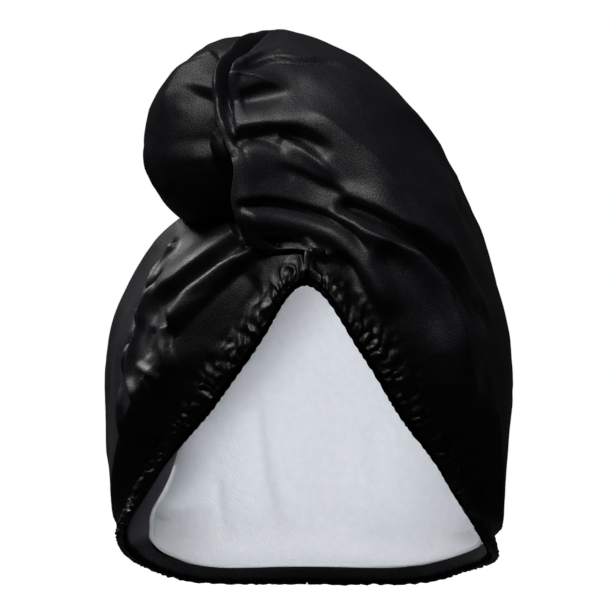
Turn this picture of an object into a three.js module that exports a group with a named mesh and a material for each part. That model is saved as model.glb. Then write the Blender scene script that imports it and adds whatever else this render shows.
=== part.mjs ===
// A satin hair towel wrap in the form it has when worn: two satin panels over a towelling lining, gathered
// onto an elastic hem, with the twisted tail laid back over the crown and held by a loop at the nape.
// Millimetres, +Z up, face opening towards -Y. The origin is where the crown of the head bears on the lining.
import * as THREE from "three";
import { mergeVertices } from "three/addons/utils/BufferGeometryUtils.js";

// ---- Driving dimensions ----
const SATIN_WALL = 1.6;
const LINING = { wall: 3, drop: 9, dropAtHem: 5.5 }; // drops from the hood's outline to its outer face
const CLEARANCE = 0.5; // between pieces that lie on each other
const FACET_ROOM = 0.6; // more room where a coarse round face lies on another
const SEAM_GAP = 0.5; // between the two satin panels where they meet edge to edge
const HEM = { width: 11, outside: 2, inside: 8, gap: 1 }; // outside, inside: depths below the hood's outline
const FULLNESS = 10; // degrees of tilt from the hem to where the cloth has its whole width
const HUB = new THREE.Vector3(0, 0, -140); // every surface of the hood is a distance from this point
const HOOD = { front: 108, back: 112, power: 2.3 };
const SWEEP = { front: 116, back: 112, power: 2.5 }; // the higher shape of the panel drawn up over the twist
const LAP_STEP = 2.8; // from the left panel up to the right one where they lap over each other
const LOOP = { z: -158, along: 0.935, width: 8, wall: 2, sides: 28 }; // along: where on the tail it is sized
const STRANDS = { count: 3, turns: 1.3, depth: 0.1 }; // the rope-like folds of the tail

// Distance of the outline from the hub in the front view. turn is the angle round the front-back axis: 0 at
// +X, 90 at the top. hood is the plain cap, and sweep is the panel that is drawn up over the twist.
const OUTLINE = [
  { turn: -90, hood: 86, sweep: 86 },
  { turn: -62, hood: 93, sweep: 93 },
  { turn: -40, hood: 103, sweep: 103 },
  { turn: -22, hood: 104.5, sweep: 104.5 },
  { turn: -5, hood: 101.5, sweep: 101.5 },
  { turn: 14, hood: 106.5, sweep: 106.5 },
  { turn: 36, hood: 120, sweep: 124 },
  { turn: 55, hood: 133, sweep: 147 },
  { turn: 68, hood: 143, sweep: 172 },
  { turn: 82, hood: 150, sweep: 204 },
  { turn: 87, hood: 151, sweep: 211 },
  { turn: 94, hood: 152, sweep: 217 },
  { turn: 106, hood: 147, sweep: 216 },
  { turn: 116, hood: 140, sweep: 212 },
  { turn: 139, hood: 123, sweep: 123 },
  { turn: 166, hood: 102.5, sweep: 102.5 },
  { turn: 185, hood: 99.5, sweep: 99.5 },
  { turn: 202, hood: 103, sweep: 103 },
  { turn: 220, hood: 103, sweep: 103 },
  { turn: 242, hood: 93, sweep: 93 },
  { turn: 270, hood: 86, sweep: 86 },
];

// The hem's line, round from the nape by +X to the forehead and back by -X.
const HEM_LINE = [
  { name: "nape", x: 0, y: 84, z: -206.5 },
  { name: "nape_right", x: 51, y: 72, z: -206 },
  { name: "corner_right", x: 84, y: 42, z: -197.5 },
  { name: "ear_right", x: 90.5, y: 3, z: -188.5 },
  { name: "jaw_right", x: 84.5, y: -41, z: -176 },
  { name: "cheek_right", x: 67, y: -64, z: -141 },
  { name: "temple_right", x: 46, y: -84, z: -111 },
  { name: "brow_right", x: 26, y: -93, z: -81 },
  { name: "forehead", x: -1, y: -93, z: -48 },
  { name: "brow_left", x: -23, y: -94, z: -77 },
  { name: "temple_left", x: -47, y: -85, z: -108 },
  { name: "cheek_left", x: -70, y: -60, z: -136 },
  { name: "jaw_left", x: -87.5, y: -28, z: -168 },
  { name: "ear_left", x: -91.5, y: 7, z: -185.5 },
  { name: "corner_left", x: -80, y: 44, z: -197 },
  { name: "nape_left", x: -50, y: 72, z: -205.5 },
];

// Where the panels end, from the middle of the back up beside the tail, over it and down the front. over is
// the turn of the right panel's free edge and under that of the left panel's edge below it. tilt is the angle
// from straight back: 90 at the outline, 180 straight to the front.
const CROSSING = [
  { tilt: 0, over: 82, under: 82 },
  { tilt: 20, over: 82, under: 82 },
  { tilt: 38, over: 79, under: 79 },
  { tilt: 50, over: 77, under: 77 },
  { tilt: 58, over: 77.5, under: 70 },
  { tilt: 66, over: 79.5, under: 72 },
  { tilt: 72, over: 83.5, under: 76 },
  { tilt: 78, over: 88.5, under: 80 },
  { tilt: 84, over: 92.5, under: 85 },
  { tilt: 90, over: 96, under: 88 },
  { tilt: 100, over: 99, under: 91 },
  { tilt: 108, over: 103, under: 94 },
  { tilt: 115, over: 105, under: 95 },
  { tilt: 122, over: 104, under: 94 },
  { tilt: 127, over: 106, under: 94 },
  { tilt: 128.8, over: 100, under: 93.5 },
  { tilt: 130.2, over: 91, under: 92 },
];

// The main folds of the satin in the front view: each runs through three points. rise is its height, negative
// in a crease, and above and below are its half widths on the two sides of the line.
const RIGHT_FOLDS = [
  { name: "twist_ridge", path: [[-24, 74], [-44, 46], [-37, 8]], rise: 5, above: 5, below: 8 },
  { name: "top_fold", path: [[-36, 56], [6, 66], [40, 48]], rise: 4, above: 9, below: 6 },
  { name: "shoulder_fold", path: [[-36, 26], [14, 26], [88, -62]], rise: 7, above: 16, below: 8 },
  { name: "shoulder_crease", path: [[-36, 20], [8, 16], [46, -20]], rise: -5, above: 6, below: 9 },
  { name: "middle_fold", path: [[-34, 8], [22, -6], [80, -56]], rise: 6, above: 9, below: 7 },
  { name: "brow_crease", path: [[-36, -13], [20, -17], [72, -78]], rise: -6, above: 7, below: 6 },
  { name: "brow_fold", path: [[-34, -20], [14, -28], [46, -70]], rise: 5, above: 7, below: 8 },
];
const LEFT_FOLDS = [
  { name: "crown_fold", path: [[-32, -22], [-62, -44], [-88, -90]], rise: 5, above: 9, below: 7 },
  { name: "side_crease", path: [[-62, -30], [-88, -64], [-95, -130]], rise: -4, above: 6, below: 6 },
  { name: "side_fold", path: [[-46, -33], [-78, -74], [-90, -104]], rise: 4, above: 6, below: 6 },
  { name: "cheek_crease", path: [[-26, -30], [-58, -50], [-76, -72]], rise: -5, above: 6, below: 6 },
  { name: "cheek_fold", path: [[-22, -34], [-52, -56], [-68, -76]], rise: 5, above: 6, below: 6 },
];

// The twisted tail: its middle line, and its half width across (side) and away from the hood (up).
const TAIL = [
  { at: 0, x: -37, y: -84, z: 17, side: 4, up: 4 },
  { at: 0.03, x: -37, y: -80, z: 17, side: 20, up: 18 },
  { at: 0.09, x: -37, y: -66, z: 17, side: 36, up: 33 },
  { at: 0.18, x: -36, y: -40, z: 17.5, side: 45.5, up: 44.5 },
  { at: 0.32, x: -29, y: 0, z: 29.5, side: 39, up: 46 },
  { at: 0.46, x: -20, y: 52, z: 24, side: 39, up: 40 },
  { at: 0.61, x: -10, y: 98, z: -10, side: 34, up: 33 },
  { at: 0.75, x: -3, y: 124, z: -64, side: 27, up: 26 },
  { at: 0.87, x: 1, y: 129, z: -118, side: 20, up: 18 },
  { at: 0.96, x: 2, y: 126, z: -160, side: 14, up: 12 },
  { at: 1, x: 2, y: 123, z: -180, side: 7, up: 6 },
];

const { degToRad, radToDeg, lerp, clamp, smoothstep } = THREE.MathUtils;
const ease = (from, to, x) => smoothstep(x, from, to);

// ---- Curves and bearings ----
// A named column's value on a smooth curve through the rows; order is the column that they are sorted by.
function column(rows, order, key, at) {
  const last = rows.length - 1;
  let i = 0;
  while (i < last - 1 && at > rows[i + 1][order]) i += 1;
  const [a, b] = [rows[i], rows[i + 1]];
  const slope = (p, q) => (q[key] - p[key]) / (q[order] - p[order]);
  const width = b[order] - a[order];
  const leaving = i > 0 ? slope(rows[i - 1], b) : slope(a, b);
  const arriving = i < last - 1 ? slope(a, rows[i + 2]) : slope(a, b);
  const t = clamp((at - a[order]) / width, 0, 1);
  const [t2, t3] = [t * t, t * t * t];
  const values = (2 * t3 - 3 * t2 + 1) * a[key] + (3 * t2 - 2 * t3) * b[key];
  return values + width * ((t3 - 2 * t2 + t) * leaving + (t3 - t2) * arriving);
}

// turn and tilt, in degrees, of a point seen from the hub; turn runs from -90 to 270.
function bearing(point) {
  const from = point.clone().sub(HUB);
  const turn = radToDeg(Math.atan2(from.z, from.x));
  const tilt = radToDeg(Math.atan2(Math.hypot(from.x, from.z), from.y));
  return { turn: turn < -90 ? turn + 360 : turn, tilt, reach: from.length() };
}

// The point at a distance from the hub.
function at(turn, tilt, reach) {
  const across = Math.sin(degToRad(tilt));
  const way = new THREE.Vector3(
    across * Math.cos(degToRad(turn)),
    Math.cos(degToRad(tilt)),
    across * Math.sin(degToRad(turn)),
  );
  return way.multiplyScalar(reach).add(HUB);
}

// The larger of two values, rounded off where they are within soft of each other.
function smoothMax(a, b, soft) {
  const share = clamp(0.5 + (a - b) / (2 * soft), 0, 1);
  return lerp(b, a, share) + soft * share * (1 - share);
}

// ---- The tail ----
function tailSection(along) {
  const value = (key) => column(TAIL, "at", key, along);
  const centre = new THREE.Vector3(value("x"), value("y"), value("z"));
  return { centre, side: value("side"), up: value("up") };
}

const TAIL_BALLS = Array.from({ length: 40 }, (_, i) => tailSection((i + 0.5) / 40));

// Distance from the hub to the far side of the tail in a direction, or 0 beside it.
function tailReach(turn, tilt) {
  const way = at(turn, tilt, 1).sub(HUB);
  return TAIL_BALLS.reduce((most, { centre, side, up }) => {
    const to = centre.clone().sub(HUB);
    const along = to.dot(way);
    const spare = (Math.max(side, up) + CLEARANCE) ** 2 - to.lengthSq() + along * along;
    return spare > 0 ? Math.max(most, along + Math.sqrt(spare)) : most;
  }, 0);
}

// ---- The hood's shape and its hem ----
function domeReach(shape, outline, tilt) {
  const across = Math.sin(degToRad(tilt)) / outline;
  const along = Math.abs(Math.cos(degToRad(tilt))) / (tilt > 90 ? shape.front : shape.back);
  return (across ** shape.power + along ** shape.power) ** (-1 / shape.power);
}

const hoodReach = (turn, tilt) => domeReach(HOOD, column(OUTLINE, "turn", "hood", turn), tilt);

const hemCurve = new THREE.CatmullRomCurve3(
  HEM_LINE.map(({ x, y, z }) => new THREE.Vector3(x, y, z)),
  true,
  "centripetal",
);

// The bearing of a point at a distance in from the hem, for a share of the way round.
function besideHem(round, inward) {
  const hem = hemCurve.getPoint(round % 1);
  const out = hem.clone().sub(HUB).normalize();
  const away = hemCurve.getTangent(round % 1).cross(out).normalize();
  return bearing(hem.addScaledVector(away, inward));
}

// How much nearer the hub the hem lies than the hood's shape.
function hemDrawIn(round) {
  const { turn, tilt, reach } = bearing(hemCurve.getPoint(round % 1));
  return hoodReach(turn, tilt) - reach;
}

// Places round the hem for even steps from nape to nape, which stand closest at the forehead.
const roundAt = (share) => (1 + Math.sign(2 * share - 1) * Math.abs(2 * share - 1) ** 1.4) / 2;

// An edge that meets the hem at a gap. The ends of a round from nape to nape are kept at its two ends.
function edgeAt(round, gap = HEM.gap) {
  const edge = besideHem(round, HEM.width + gap);
  if (round === 0) edge.turn = -90;
  if (round === 1) edge.turn = 270;
  return { ...edge, drawIn: hemDrawIn(round) };
}

// The edge's bearings by turn, with how far the hem is drawn in there.
const EDGE = Array.from({ length: 121 }, (_, i) => edgeAt(i / 120));
const edgeTilt = (turn) => column(EDGE, "turn", "tilt", turn);

// ---- Surfaces of the hood ----
// How much of the way from the hood's shape up to the swept shape the right panel goes.
const sweepShare = (tilt, fromHem) => ease(50, 86, tilt) * ease(0, 14, fromHem);

// How far a fold lifts the point x, z of the front view.
function foldLift(fold, x, z) {
  const [start, middle, end] = fold.path.map((place) => new THREE.Vector2(...place));
  const handle = middle.clone().multiplyScalar(2).addScaledVector(start, -0.5).addScaledVector(end, -0.5);
  const line = new THREE.QuadraticBezierCurve(start, handle, end).getPoints(8);
  const spot = new THREE.Vector2(x, z);
  let nearest = { far: Infinity };
  for (let i = 0; i < line.length - 1; i += 1) {
    const step = line[i + 1].clone().sub(line[i]);
    const offset = spot.clone().sub(line[i]);
    const share = clamp(offset.dot(step) / step.lengthSq(), 0, 1);
    const far = offset.clone().addScaledVector(step, -share).length();
    const along = (i + share) / (line.length - 1);
    if (far < nearest.far) nearest = { far, along, above: step.cross(offset) > 0 };
  }
  const soft = nearest.above ? fold.above : fold.below;
  const fade = ease(0, 0.15, nearest.along) * (1 - ease(0.75, 1, nearest.along));
  return fold.rise * lerp(0.3, 1, fade) * Math.exp(-((nearest.far / soft) ** 2));
}

// Lift of all the folds on the front half of a panel.
function foldsAt(folds, turn, tilt, reach, fromHem) {
  const shown = ease(74, 96, tilt) * ease(0, 6, fromHem);
  if (shown === 0) return 0;
  const { x, z } = at(turn, tilt, reach);
  return shown * folds.reduce((sum, fold) => sum + foldLift(fold, x, z), 0);
}

// How far the cloth is drawn in from the hood's shape near the hem.
const drawnIn = (turn, fromHem) => column(EDGE, "turn", "drawIn", turn) * (1 - ease(0, FULLNESS, fromHem));

function leftReach(turn, tilt) {
  const fromHem = edgeTilt(turn) - tilt;
  const base = hoodReach(turn, tilt) - drawnIn(turn, fromHem);
  const lifted = base + foldsAt(LEFT_FOLDS, turn, tilt, base, fromHem);
  return Math.max(lifted, base - 3) - HEM.outside * (1 - ease(0, 9, fromHem));
}

function rightReach(turn, tilt) {
  const fromHem = edgeTilt(turn) - tilt;
  const low = hoodReach(turn, tilt);
  const high = domeReach(SWEEP, column(OUTLINE, "turn", "sweep", turn), tilt);
  const drop = drawnIn(turn, fromHem);
  const plain = lerp(low, high, sweepShare(tilt, fromHem)) - drop;
  const overTail = ease(50, 60, tilt) * (1 - ease(112, 118, tilt));
  const drawn = smoothMax(plain, overTail * (tailReach(turn, tilt) + SATIN_WALL), 4);
  const lifted = Math.max(drawn + foldsAt(RIGHT_FOLDS, turn, tilt, drawn, fromHem), low - drop - 3);
  const pinched = lifted - HEM.outside * (1 - ease(0, 9, fromHem));
  const lapped = ease(-8, -3, turn - column(CROSSING, "tilt", "under", tilt)) * lapShare(tilt);
  return lapped > 0 ? Math.max(pinched, leftReach(turn, tilt) + lapped * LAP_STEP) : pinched;
}

// 0 where the panels meet edge to edge, 1 where they lap over each other.
const lapShare = (tilt) => ease(44, 52, tilt) * (1 - ease(130, 134, tilt));

function liningReach(turn, tilt) {
  const fromHem = edgeTilt(turn) - tilt;
  const drop = lerp(LINING.dropAtHem, LINING.drop, ease(0, 14, fromHem));
  return hoodReach(turn, tilt) - drawnIn(turn, fromHem) - drop;
}

const FOREHEAD = edgeAt(0.5);

// The turn of a panel's free edge, which ends above the forehead.
const seamTurn = (tilt, layer) => column(CROSSING, "tilt", layer, tilt);

// ---- Closed walls from grids of points ----
function closedMesh(positions, triangles) {
  const loose = new THREE.BufferGeometry();
  loose.setAttribute("position", new THREE.Float32BufferAttribute(positions, 3));
  loose.setIndex(triangles);
  const merged = mergeVertices(loose, 1e-3);
  const corners = Array.from(merged.index.array);
  const kept = [];
  for (let i = 0; i < corners.length; i += 3) {
    const [a, b, c] = corners.slice(i, i + 3);
    if (a !== b && b !== c && c !== a) kept.push(a, b, c);
  }
  merged.setIndex(kept);
  merged.computeVertexNormals();
  return merged;
}

// A wall whose outer face is surface(i, j) for column i and row j, thick inwards. Columns run round towards
// rising turn and rows from the hem to the middle of the back, where they end in one point.
function wall(columns, rows, thick, loop, surface) {
  const across = loop ? columns : columns + 1;
  const outer = Array.from({ length: across }, (_, i) => {
    return Array.from({ length: rows + 1 }, (__, j) => surface(i, j));
  });
  const beside = (i) => (loop ? (i + across) % across : clamp(i, 0, columns));
  const inner = outer.map((line, i) =>
    line.map((point, j) => {
      const round = outer[beside(i + 1)][j].clone().sub(outer[beside(i - 1)][j]);
      const back = line[Math.min(j + 1, rows)].clone().sub(line[Math.max(j - 1, 0)]);
      const out = j === rows ? new THREE.Vector3(0, 1, 0) : round.cross(back).normalize().negate();
      return point.clone().addScaledVector(out, -thick);
    }),
  );
  const id = (layer, i, j) => (layer * across + (i % across)) * (rows + 1) + j;
  const triangles = [];
  const quad = (a, b, c, d) => triangles.push(a, b, c, a, c, d);
  for (let i = 0; i < columns; i += 1) {
    for (let j = 0; j < rows; j += 1) {
      quad(id(0, i, j), id(0, i, j + 1), id(0, i + 1, j + 1), id(0, i + 1, j));
      quad(id(1, i, j), id(1, i + 1, j), id(1, i + 1, j + 1), id(1, i, j + 1));
    }
    quad(id(0, i, 0), id(0, i + 1, 0), id(1, i + 1, 0), id(1, i, 0));
  }
  for (let j = 0; j < rows && !loop; j += 1) {
    quad(id(0, 0, j), id(1, 0, j), id(1, 0, j + 1), id(0, 0, j + 1));
    quad(id(0, columns, j), id(0, columns, j + 1), id(1, columns, j + 1), id(1, columns, j));
  }
  const points = [...outer.flat(), ...inner.flat()];
  return closedMesh(points.flatMap((point) => point.toArray()), triangles);
}

// How far up a column a row stands. Rows stand closer near the hem, the first at that share of an even step.
const rowShare = (j, rows, first) => lerp(first, 1, j / rows) * (j / rows);

function panel(columns, rows, side) {
  const isRight = side === "right";
  return wall(columns, rows, SATIN_WALL, false, (i, j) => {
    const along = i / columns;
    const edge = edgeAt(roundAt(isRight ? along / 2 : (1 + along) / 2));
    const tilt = edge.tilt * (1 - rowShare(j, rows, 0.65));
    const near = isRight ? ease(0.2, 1, along) : 1 - ease(0, 0.7, along);
    const free = lerp(ease(0, 12, edge.tilt - tilt), 1, ease(0.85, 1, near)); // 0 holds a column at the hem
    const turn = edge.turn + near * free * (seamTurn(tilt, isRight ? "over" : "under") - FOREHEAD.turn);
    const reach = isRight ? rightReach(turn, tilt) : leftReach(turn, tilt);
    const shift = (isRight ? SEAM_GAP : -SEAM_GAP) / 2;
    return at(turn, tilt, reach).add(new THREE.Vector3(shift, 0, shift * ease(80, 100, tilt)));
  });
}

const lining = (columns, rows) =>
  wall(columns, rows, LINING.wall, true, (i, j) => {
    const edge = edgeAt(roundAt(i / columns), CLEARANCE);
    const tilt = edge.tilt * (1 - rowShare(j, rows, 0.4));
    return at(edge.turn, tilt, liningReach(edge.turn, tilt));
  });

// ---- Rings and tubes ----
// Sections joined into a tube; section(i) gives its corners in order. It closes on itself or has flat ends.
function tube(count, closes, section) {
  const rings = Array.from({ length: count }, (_, i) => section(i));
  const sides = rings[0].length;
  const positions = rings.flat().flatMap((point) => point.toArray());
  const id = (i, k) => (i % count) * sides + (k % sides);
  const triangles = [];
  for (let i = 0; i < (closes ? count : count - 1); i += 1)
    for (let k = 0; k < sides; k += 1)
      triangles.push(id(i, k), id(i, k + 1), id(i + 1, k + 1), id(i, k), id(i + 1, k + 1), id(i + 1, k));
  for (let k = 1; k < sides - 1 && !closes; k += 1) {
    triangles.push(id(0, 0), id(0, k + 1), id(0, k));
    triangles.push(id(count - 1, 0), id(count - 1, k), id(count - 1, k + 1));
  }
  return closedMesh(positions, triangles);
}

// The hem's casing: a soft flat tube round the whole edge, its section measured in from the hem and down from
// the hood's outline.
function hemBand(count, sides) {
  const [middle, half] = [(HEM.outside + HEM.inside) / 2, (HEM.inside - HEM.outside) / 2];
  return tube(count, true, (i) =>
    Array.from({ length: sides }, (_, k) => {
      const angle = (2 * Math.PI * (k + 0.5)) / sides;
      const round = (value) => Math.sign(value) * Math.abs(value) ** 0.7;
      const inward = (HEM.width / 2) * (1 - round(Math.cos(angle)));
      const { turn, tilt } = besideHem(i / count, inward);
      const outline = hoodReach(turn, tilt) - drawnIn(turn, 0);
      return at(turn, tilt, outline - middle + half * round(Math.sin(angle)));
    }),
  );
}

// A point of the tail's skin. The skin lies on the hood below it, and off it by the loop's wall at the nape.
function tailSkin(along, angle) {
  const { centre, side, up } = tailSection(along);
  const [behind, ahead] = [-0.01, 0.01].map((step) => tailSection(clamp(along + step, 0, 1)).centre);
  const way = ahead.sub(behind).normalize();
  const across = new THREE.Vector3(1, 0, 0).addScaledVector(way, -way.x).normalize();
  const away = across.clone().cross(way);
  const wound = Math.abs(Math.cos((STRANDS.count / 2) * (angle - 2 * Math.PI * STRANDS.turns * along)));
  const full = 1 - STRANDS.depth * (1 - wound) * ease(0.1, 0.4, along);
  const skin = centre
    .addScaledVector(across, side * full * Math.cos(angle))
    .addScaledVector(away, up * full * Math.sin(angle));
  const { turn, tilt, reach } = bearing(skin);
  const held = 1 - ease(LOOP.z + LOOP.width, LOOP.z + 3 * LOOP.width, skin.z);
  const rest = CLEARANCE + lerp(FACET_ROOM, LOOP.wall + CLEARANCE, held);
  const onRight = tilt < 66 && turn < column(CROSSING, "tilt", "over", tilt);
  const floor = (onRight ? rightReach : leftReach)(turn, tilt) + rest;
  return reach < floor ? at(turn, tilt, floor) : skin;
}

function tail(count, sides) {
  return tube(count + 1, false, (i) => {
    const along = (i / count) ** 1.15;
    return Array.from({ length: sides }, (_, k) => tailSkin(along, (-2 * Math.PI * k) / sides));
  });
}

// The loop round the tail's end: an upright band, flat against the hood's back.
function tailLoop() {
  const high = tailSection(LOOP.along);
  const ring = (spare, z) =>
    Array.from({ length: LOOP.sides }, (_, k) => {
      const angle = (2 * Math.PI * k) / LOOP.sides;
      const x = high.centre.x + (high.side + spare) * Math.cos(angle);
      const y = high.centre.y + (high.up + spare) * Math.sin(angle);
      const { turn, tilt, reach } = bearing(new THREE.Vector3(x, y, z));
      const floor = leftReach(turn, tilt) + 2 * CLEARANCE + LOOP.wall - spare;
      return reach < floor ? at(turn, tilt, floor).setZ(z) : new THREE.Vector3(x, y, z);
    });
  const [low, top] = [LOOP.z - LOOP.width / 2, LOOP.z + LOOP.width / 2];
  const corners = [
    ring(CLEARANCE, low),
    ring(CLEARANCE, top),
    ring(CLEARANCE + LOOP.wall, top),
    ring(CLEARANCE + LOOP.wall, low),
  ];
  return tube(LOOP.sides, true, (k) => corners.map((corner) => corner[k]));
}

// ---- The assembly ----
const SATIN = { color: 0x0b0b0f, roughness: 0.42, metalness: 0 };
const TOWELLING = { color: 0xdfe2e8, roughness: 0.95, metalness: 0 };

const wrap = new THREE.Group();

function add(name, geometry, finish) {
  const mesh = new THREE.Mesh(geometry, new THREE.MeshStandardMaterial(finish));
  mesh.name = name;
  wrap.add(mesh);
}

add("right_panel", panel(28, 26, "right"), SATIN);
add("left_panel", panel(22, 26, "left"), SATIN);
add("lining", lining(40, 12), TOWELLING);
add("hem_band", hemBand(72, 8), SATIN);
add("twist_tail", tail(34, 18), SATIN);
add("tail_loop", tailLoop(), SATIN);

export default wrap;
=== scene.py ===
"""A satin hair towel wrap, dressed: two gathered satin panels over a towelling lining, on an elastic hem.

The shapes are worked out in millimetres and turned into metres when a mesh is made. Every surface of the
hood is a distance from one hub inside it, so a place on it is a bearing: turn, round the front-back axis,
and tilt, from straight back. Folds and gathers lift the cloth off that smooth shape.
"""

import logging
import math
from dataclasses import dataclass, field
from enum import Enum

import bmesh
import bpy
import numpy as np
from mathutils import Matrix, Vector
from mathutils.bvhtree import BVHTree


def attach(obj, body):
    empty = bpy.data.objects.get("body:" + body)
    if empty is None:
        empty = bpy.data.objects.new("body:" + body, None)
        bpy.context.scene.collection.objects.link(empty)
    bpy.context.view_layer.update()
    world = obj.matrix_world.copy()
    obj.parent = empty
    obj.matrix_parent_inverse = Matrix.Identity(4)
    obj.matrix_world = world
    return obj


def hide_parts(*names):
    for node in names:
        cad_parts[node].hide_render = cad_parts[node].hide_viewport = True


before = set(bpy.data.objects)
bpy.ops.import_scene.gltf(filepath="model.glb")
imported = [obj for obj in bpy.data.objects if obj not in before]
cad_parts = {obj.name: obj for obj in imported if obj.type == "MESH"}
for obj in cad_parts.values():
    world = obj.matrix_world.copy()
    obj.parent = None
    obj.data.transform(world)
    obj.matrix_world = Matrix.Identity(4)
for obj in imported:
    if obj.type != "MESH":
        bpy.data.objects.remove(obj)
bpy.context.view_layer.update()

log = logging.getLogger("towel_wrap")

MM = 0.001
HUB = np.array([0.0, 0.0, -140.0])
SATIN_WALL = 1.6
SEAM_GAP = 0.5
LAP_STEP = 2.8
CLEAR = 0.4  # room left above a piece that another is laid on
TAIL_FELT = 8  # how far in from its free edge the right panel is laid on the tail
FULLNESS = 10.0  # degrees of tilt from the hem to where the cloth has its whole width
LINING_WALL = 3.0
LINING_DROP = (5.5, 9.0)  # from the hood's outline to the lining, at the hem and further in
HEM_WIDTH = 11.0
SHOWN_CASING = 0.8  # how much of the casing the panels leave bare beside the hem
RAY_START = 400.0  # distance from the hub at which rays back towards it begin
HEM_OUTSIDE, HEM_INSIDE = 3.6, 7.2  # depths of the casing's two faces below the hood's outline


# ---- Curves and fields ----
def ease(start: float, end: float, x: np.ndarray) -> np.ndarray:
    """A smooth step from 0 at start to 1 at end."""
    t = np.clip((x - start) / (end - start), 0, 1)
    return t * t * (3 - 2 * t)


def lerp(a: np.ndarray, b: np.ndarray, share: np.ndarray) -> np.ndarray:
    """The value between a and b at a share of the way."""
    return a + (b - a) * share


def unit(vectors: np.ndarray) -> np.ndarray:
    """The vectors at length 1; one without length stays as it is."""
    return vectors / np.maximum(np.linalg.norm(vectors, axis=-1, keepdims=True), 1e-9)


def ripple(points: np.ndarray, length: float, seed: int, count: int = 18) -> np.ndarray:
    """A smooth random field with no seam.

    Args:
        points: Places, with x, y and z last.
        length: The usual distance between two of its crests.
        seed: Which field.
        count: How many waves it is made of.

    Returns:
        Its value at each place, mostly between -1 and 1.
    """
    rng = np.random.default_rng(seed)
    ways = unit(rng.normal(size=(count, 3))) * 2 * math.pi / (length * rng.uniform(0.75, 1.45, (count, 1)))
    starts = rng.uniform(0, 2 * math.pi, count)
    total = np.zeros(points.shape[:-1])
    for way, start in zip(ways, starts):
        total += np.sin(points @ way + start)
    return total / math.sqrt(count)


@dataclass(frozen=True)
class Table:
    """Rows of numbers under named columns, read as smooth curves over the first column."""

    columns: tuple[str, ...]
    rows: tuple[tuple[float, ...], ...]

    def at(self, name: str, place: np.ndarray) -> np.ndarray:
        """The value of a column.

        Args:
            name: The column to read.
            place: Values of the first column, in any shape.

        Returns:
            The values there, held at the table's ends.
        """
        data = np.array(self.rows, float)
        known, values = data[:, 0], data[:, self.columns.index(name)]
        slopes = np.empty(len(known))
        slopes[1:-1] = (values[2:] - values[:-2]) / (known[2:] - known[:-2])
        slopes[0] = (values[1] - values[0]) / (known[1] - known[0])
        slopes[-1] = (values[-1] - values[-2]) / (known[-1] - known[-2])
        i = np.clip(np.searchsorted(known, place, side="right") - 1, 0, len(known) - 2)
        width = known[i + 1] - known[i]
        t = np.clip((place - known[i]) / width, 0, 1)
        ends = (2 * t**3 - 3 * t**2 + 1) * values[i] + (3 * t**2 - 2 * t**3) * values[i + 1]
        return ends + width * ((t**3 - 2 * t**2 + t) * slopes[i] + (t**3 - t**2) * slopes[i + 1])


def through(points: np.ndarray, steps: int) -> np.ndarray:
    """A smooth open curve through points.

    Args:
        points: The points, one a row.
        steps: How many steps there are between two of them.

    Returns:
        The curve's own points, one a row.
    """
    spread = np.vstack([2 * points[0] - points[1], points, 2 * points[-1] - points[-2]])
    t = (np.arange(steps) / steps)[:, None]
    parts = []
    for a, b, c, d in zip(spread, spread[1:], spread[2:], spread[3:]):
        parts.append(b + 0.5 * t * (c - a + t * (2 * a - 5 * b + 4 * c - d + t * (3 * (b - c) + d - a))))
    return np.vstack([*parts, points[-1:]])


# ---- Bearings from the hub ----
def place_at(turn: np.ndarray, tilt: np.ndarray, reach: np.ndarray) -> np.ndarray:
    """The points at a distance from the hub, for bearings in degrees."""
    turn, tilt = np.radians(turn), np.radians(tilt)
    across = np.sin(tilt)
    way = np.stack(np.broadcast_arrays(across * np.cos(turn), np.cos(tilt), across * np.sin(turn)), -1)
    return HUB + way * np.asarray(reach)[..., None]


def bearing_of(points: np.ndarray) -> tuple[np.ndarray, np.ndarray, np.ndarray]:
    """The turn, tilt and reach of points; turn runs from -90 to 270."""
    x, y, z = np.moveaxis(points - HUB, -1, 0)
    turn = np.degrees(np.arctan2(z, x))
    tilt = np.degrees(np.arctan2(np.hypot(x, z), y))
    return np.where(turn < -90, turn + 360, turn), tilt, np.sqrt(x * x + y * y + z * z)


# ---- The hood's smooth shape ----
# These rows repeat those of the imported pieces, apart from the outline at turn 139, which is 2 less here.
# FLARE is only here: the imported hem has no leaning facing.
OUTLINE = Table(("turn", "hood", "sweep"), (
    (-90, 86, 86), (-62, 93, 93), (-40, 103, 103), (-22, 104.5, 104.5), (-5, 101.5, 101.5),
    (14, 106.5, 106.5), (36, 120, 124), (55, 133, 147), (68, 143, 172), (82, 150, 204), (87, 151, 211),
    (94, 152, 217), (106, 147, 216), (116, 140, 212), (139, 121, 121), (166, 102.5, 102.5), (185, 99.5, 99.5),
    (202, 103, 103), (220, 103, 103), (242, 93, 93), (270, 86, 86),
))
# The hem's corners, round from the nape by +X to the forehead and back by -X.
HEM_LINE = np.array([
    (0, 84, -206.5), (51, 72, -206), (84, 42, -197.5), (90.5, 3, -188.5), (84.5, -41, -176), (67, -64, -141),
    (46, -84, -111), (26, -93, -81), (-1, -93, -48), (-23, -94, -77), (-47, -85, -108), (-70, -60, -136),
    (-87.5, -28, -168), (-91.5, 7, -185.5), (-80, 44, -197), (-50, 72, -205.5),
], float)
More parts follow.
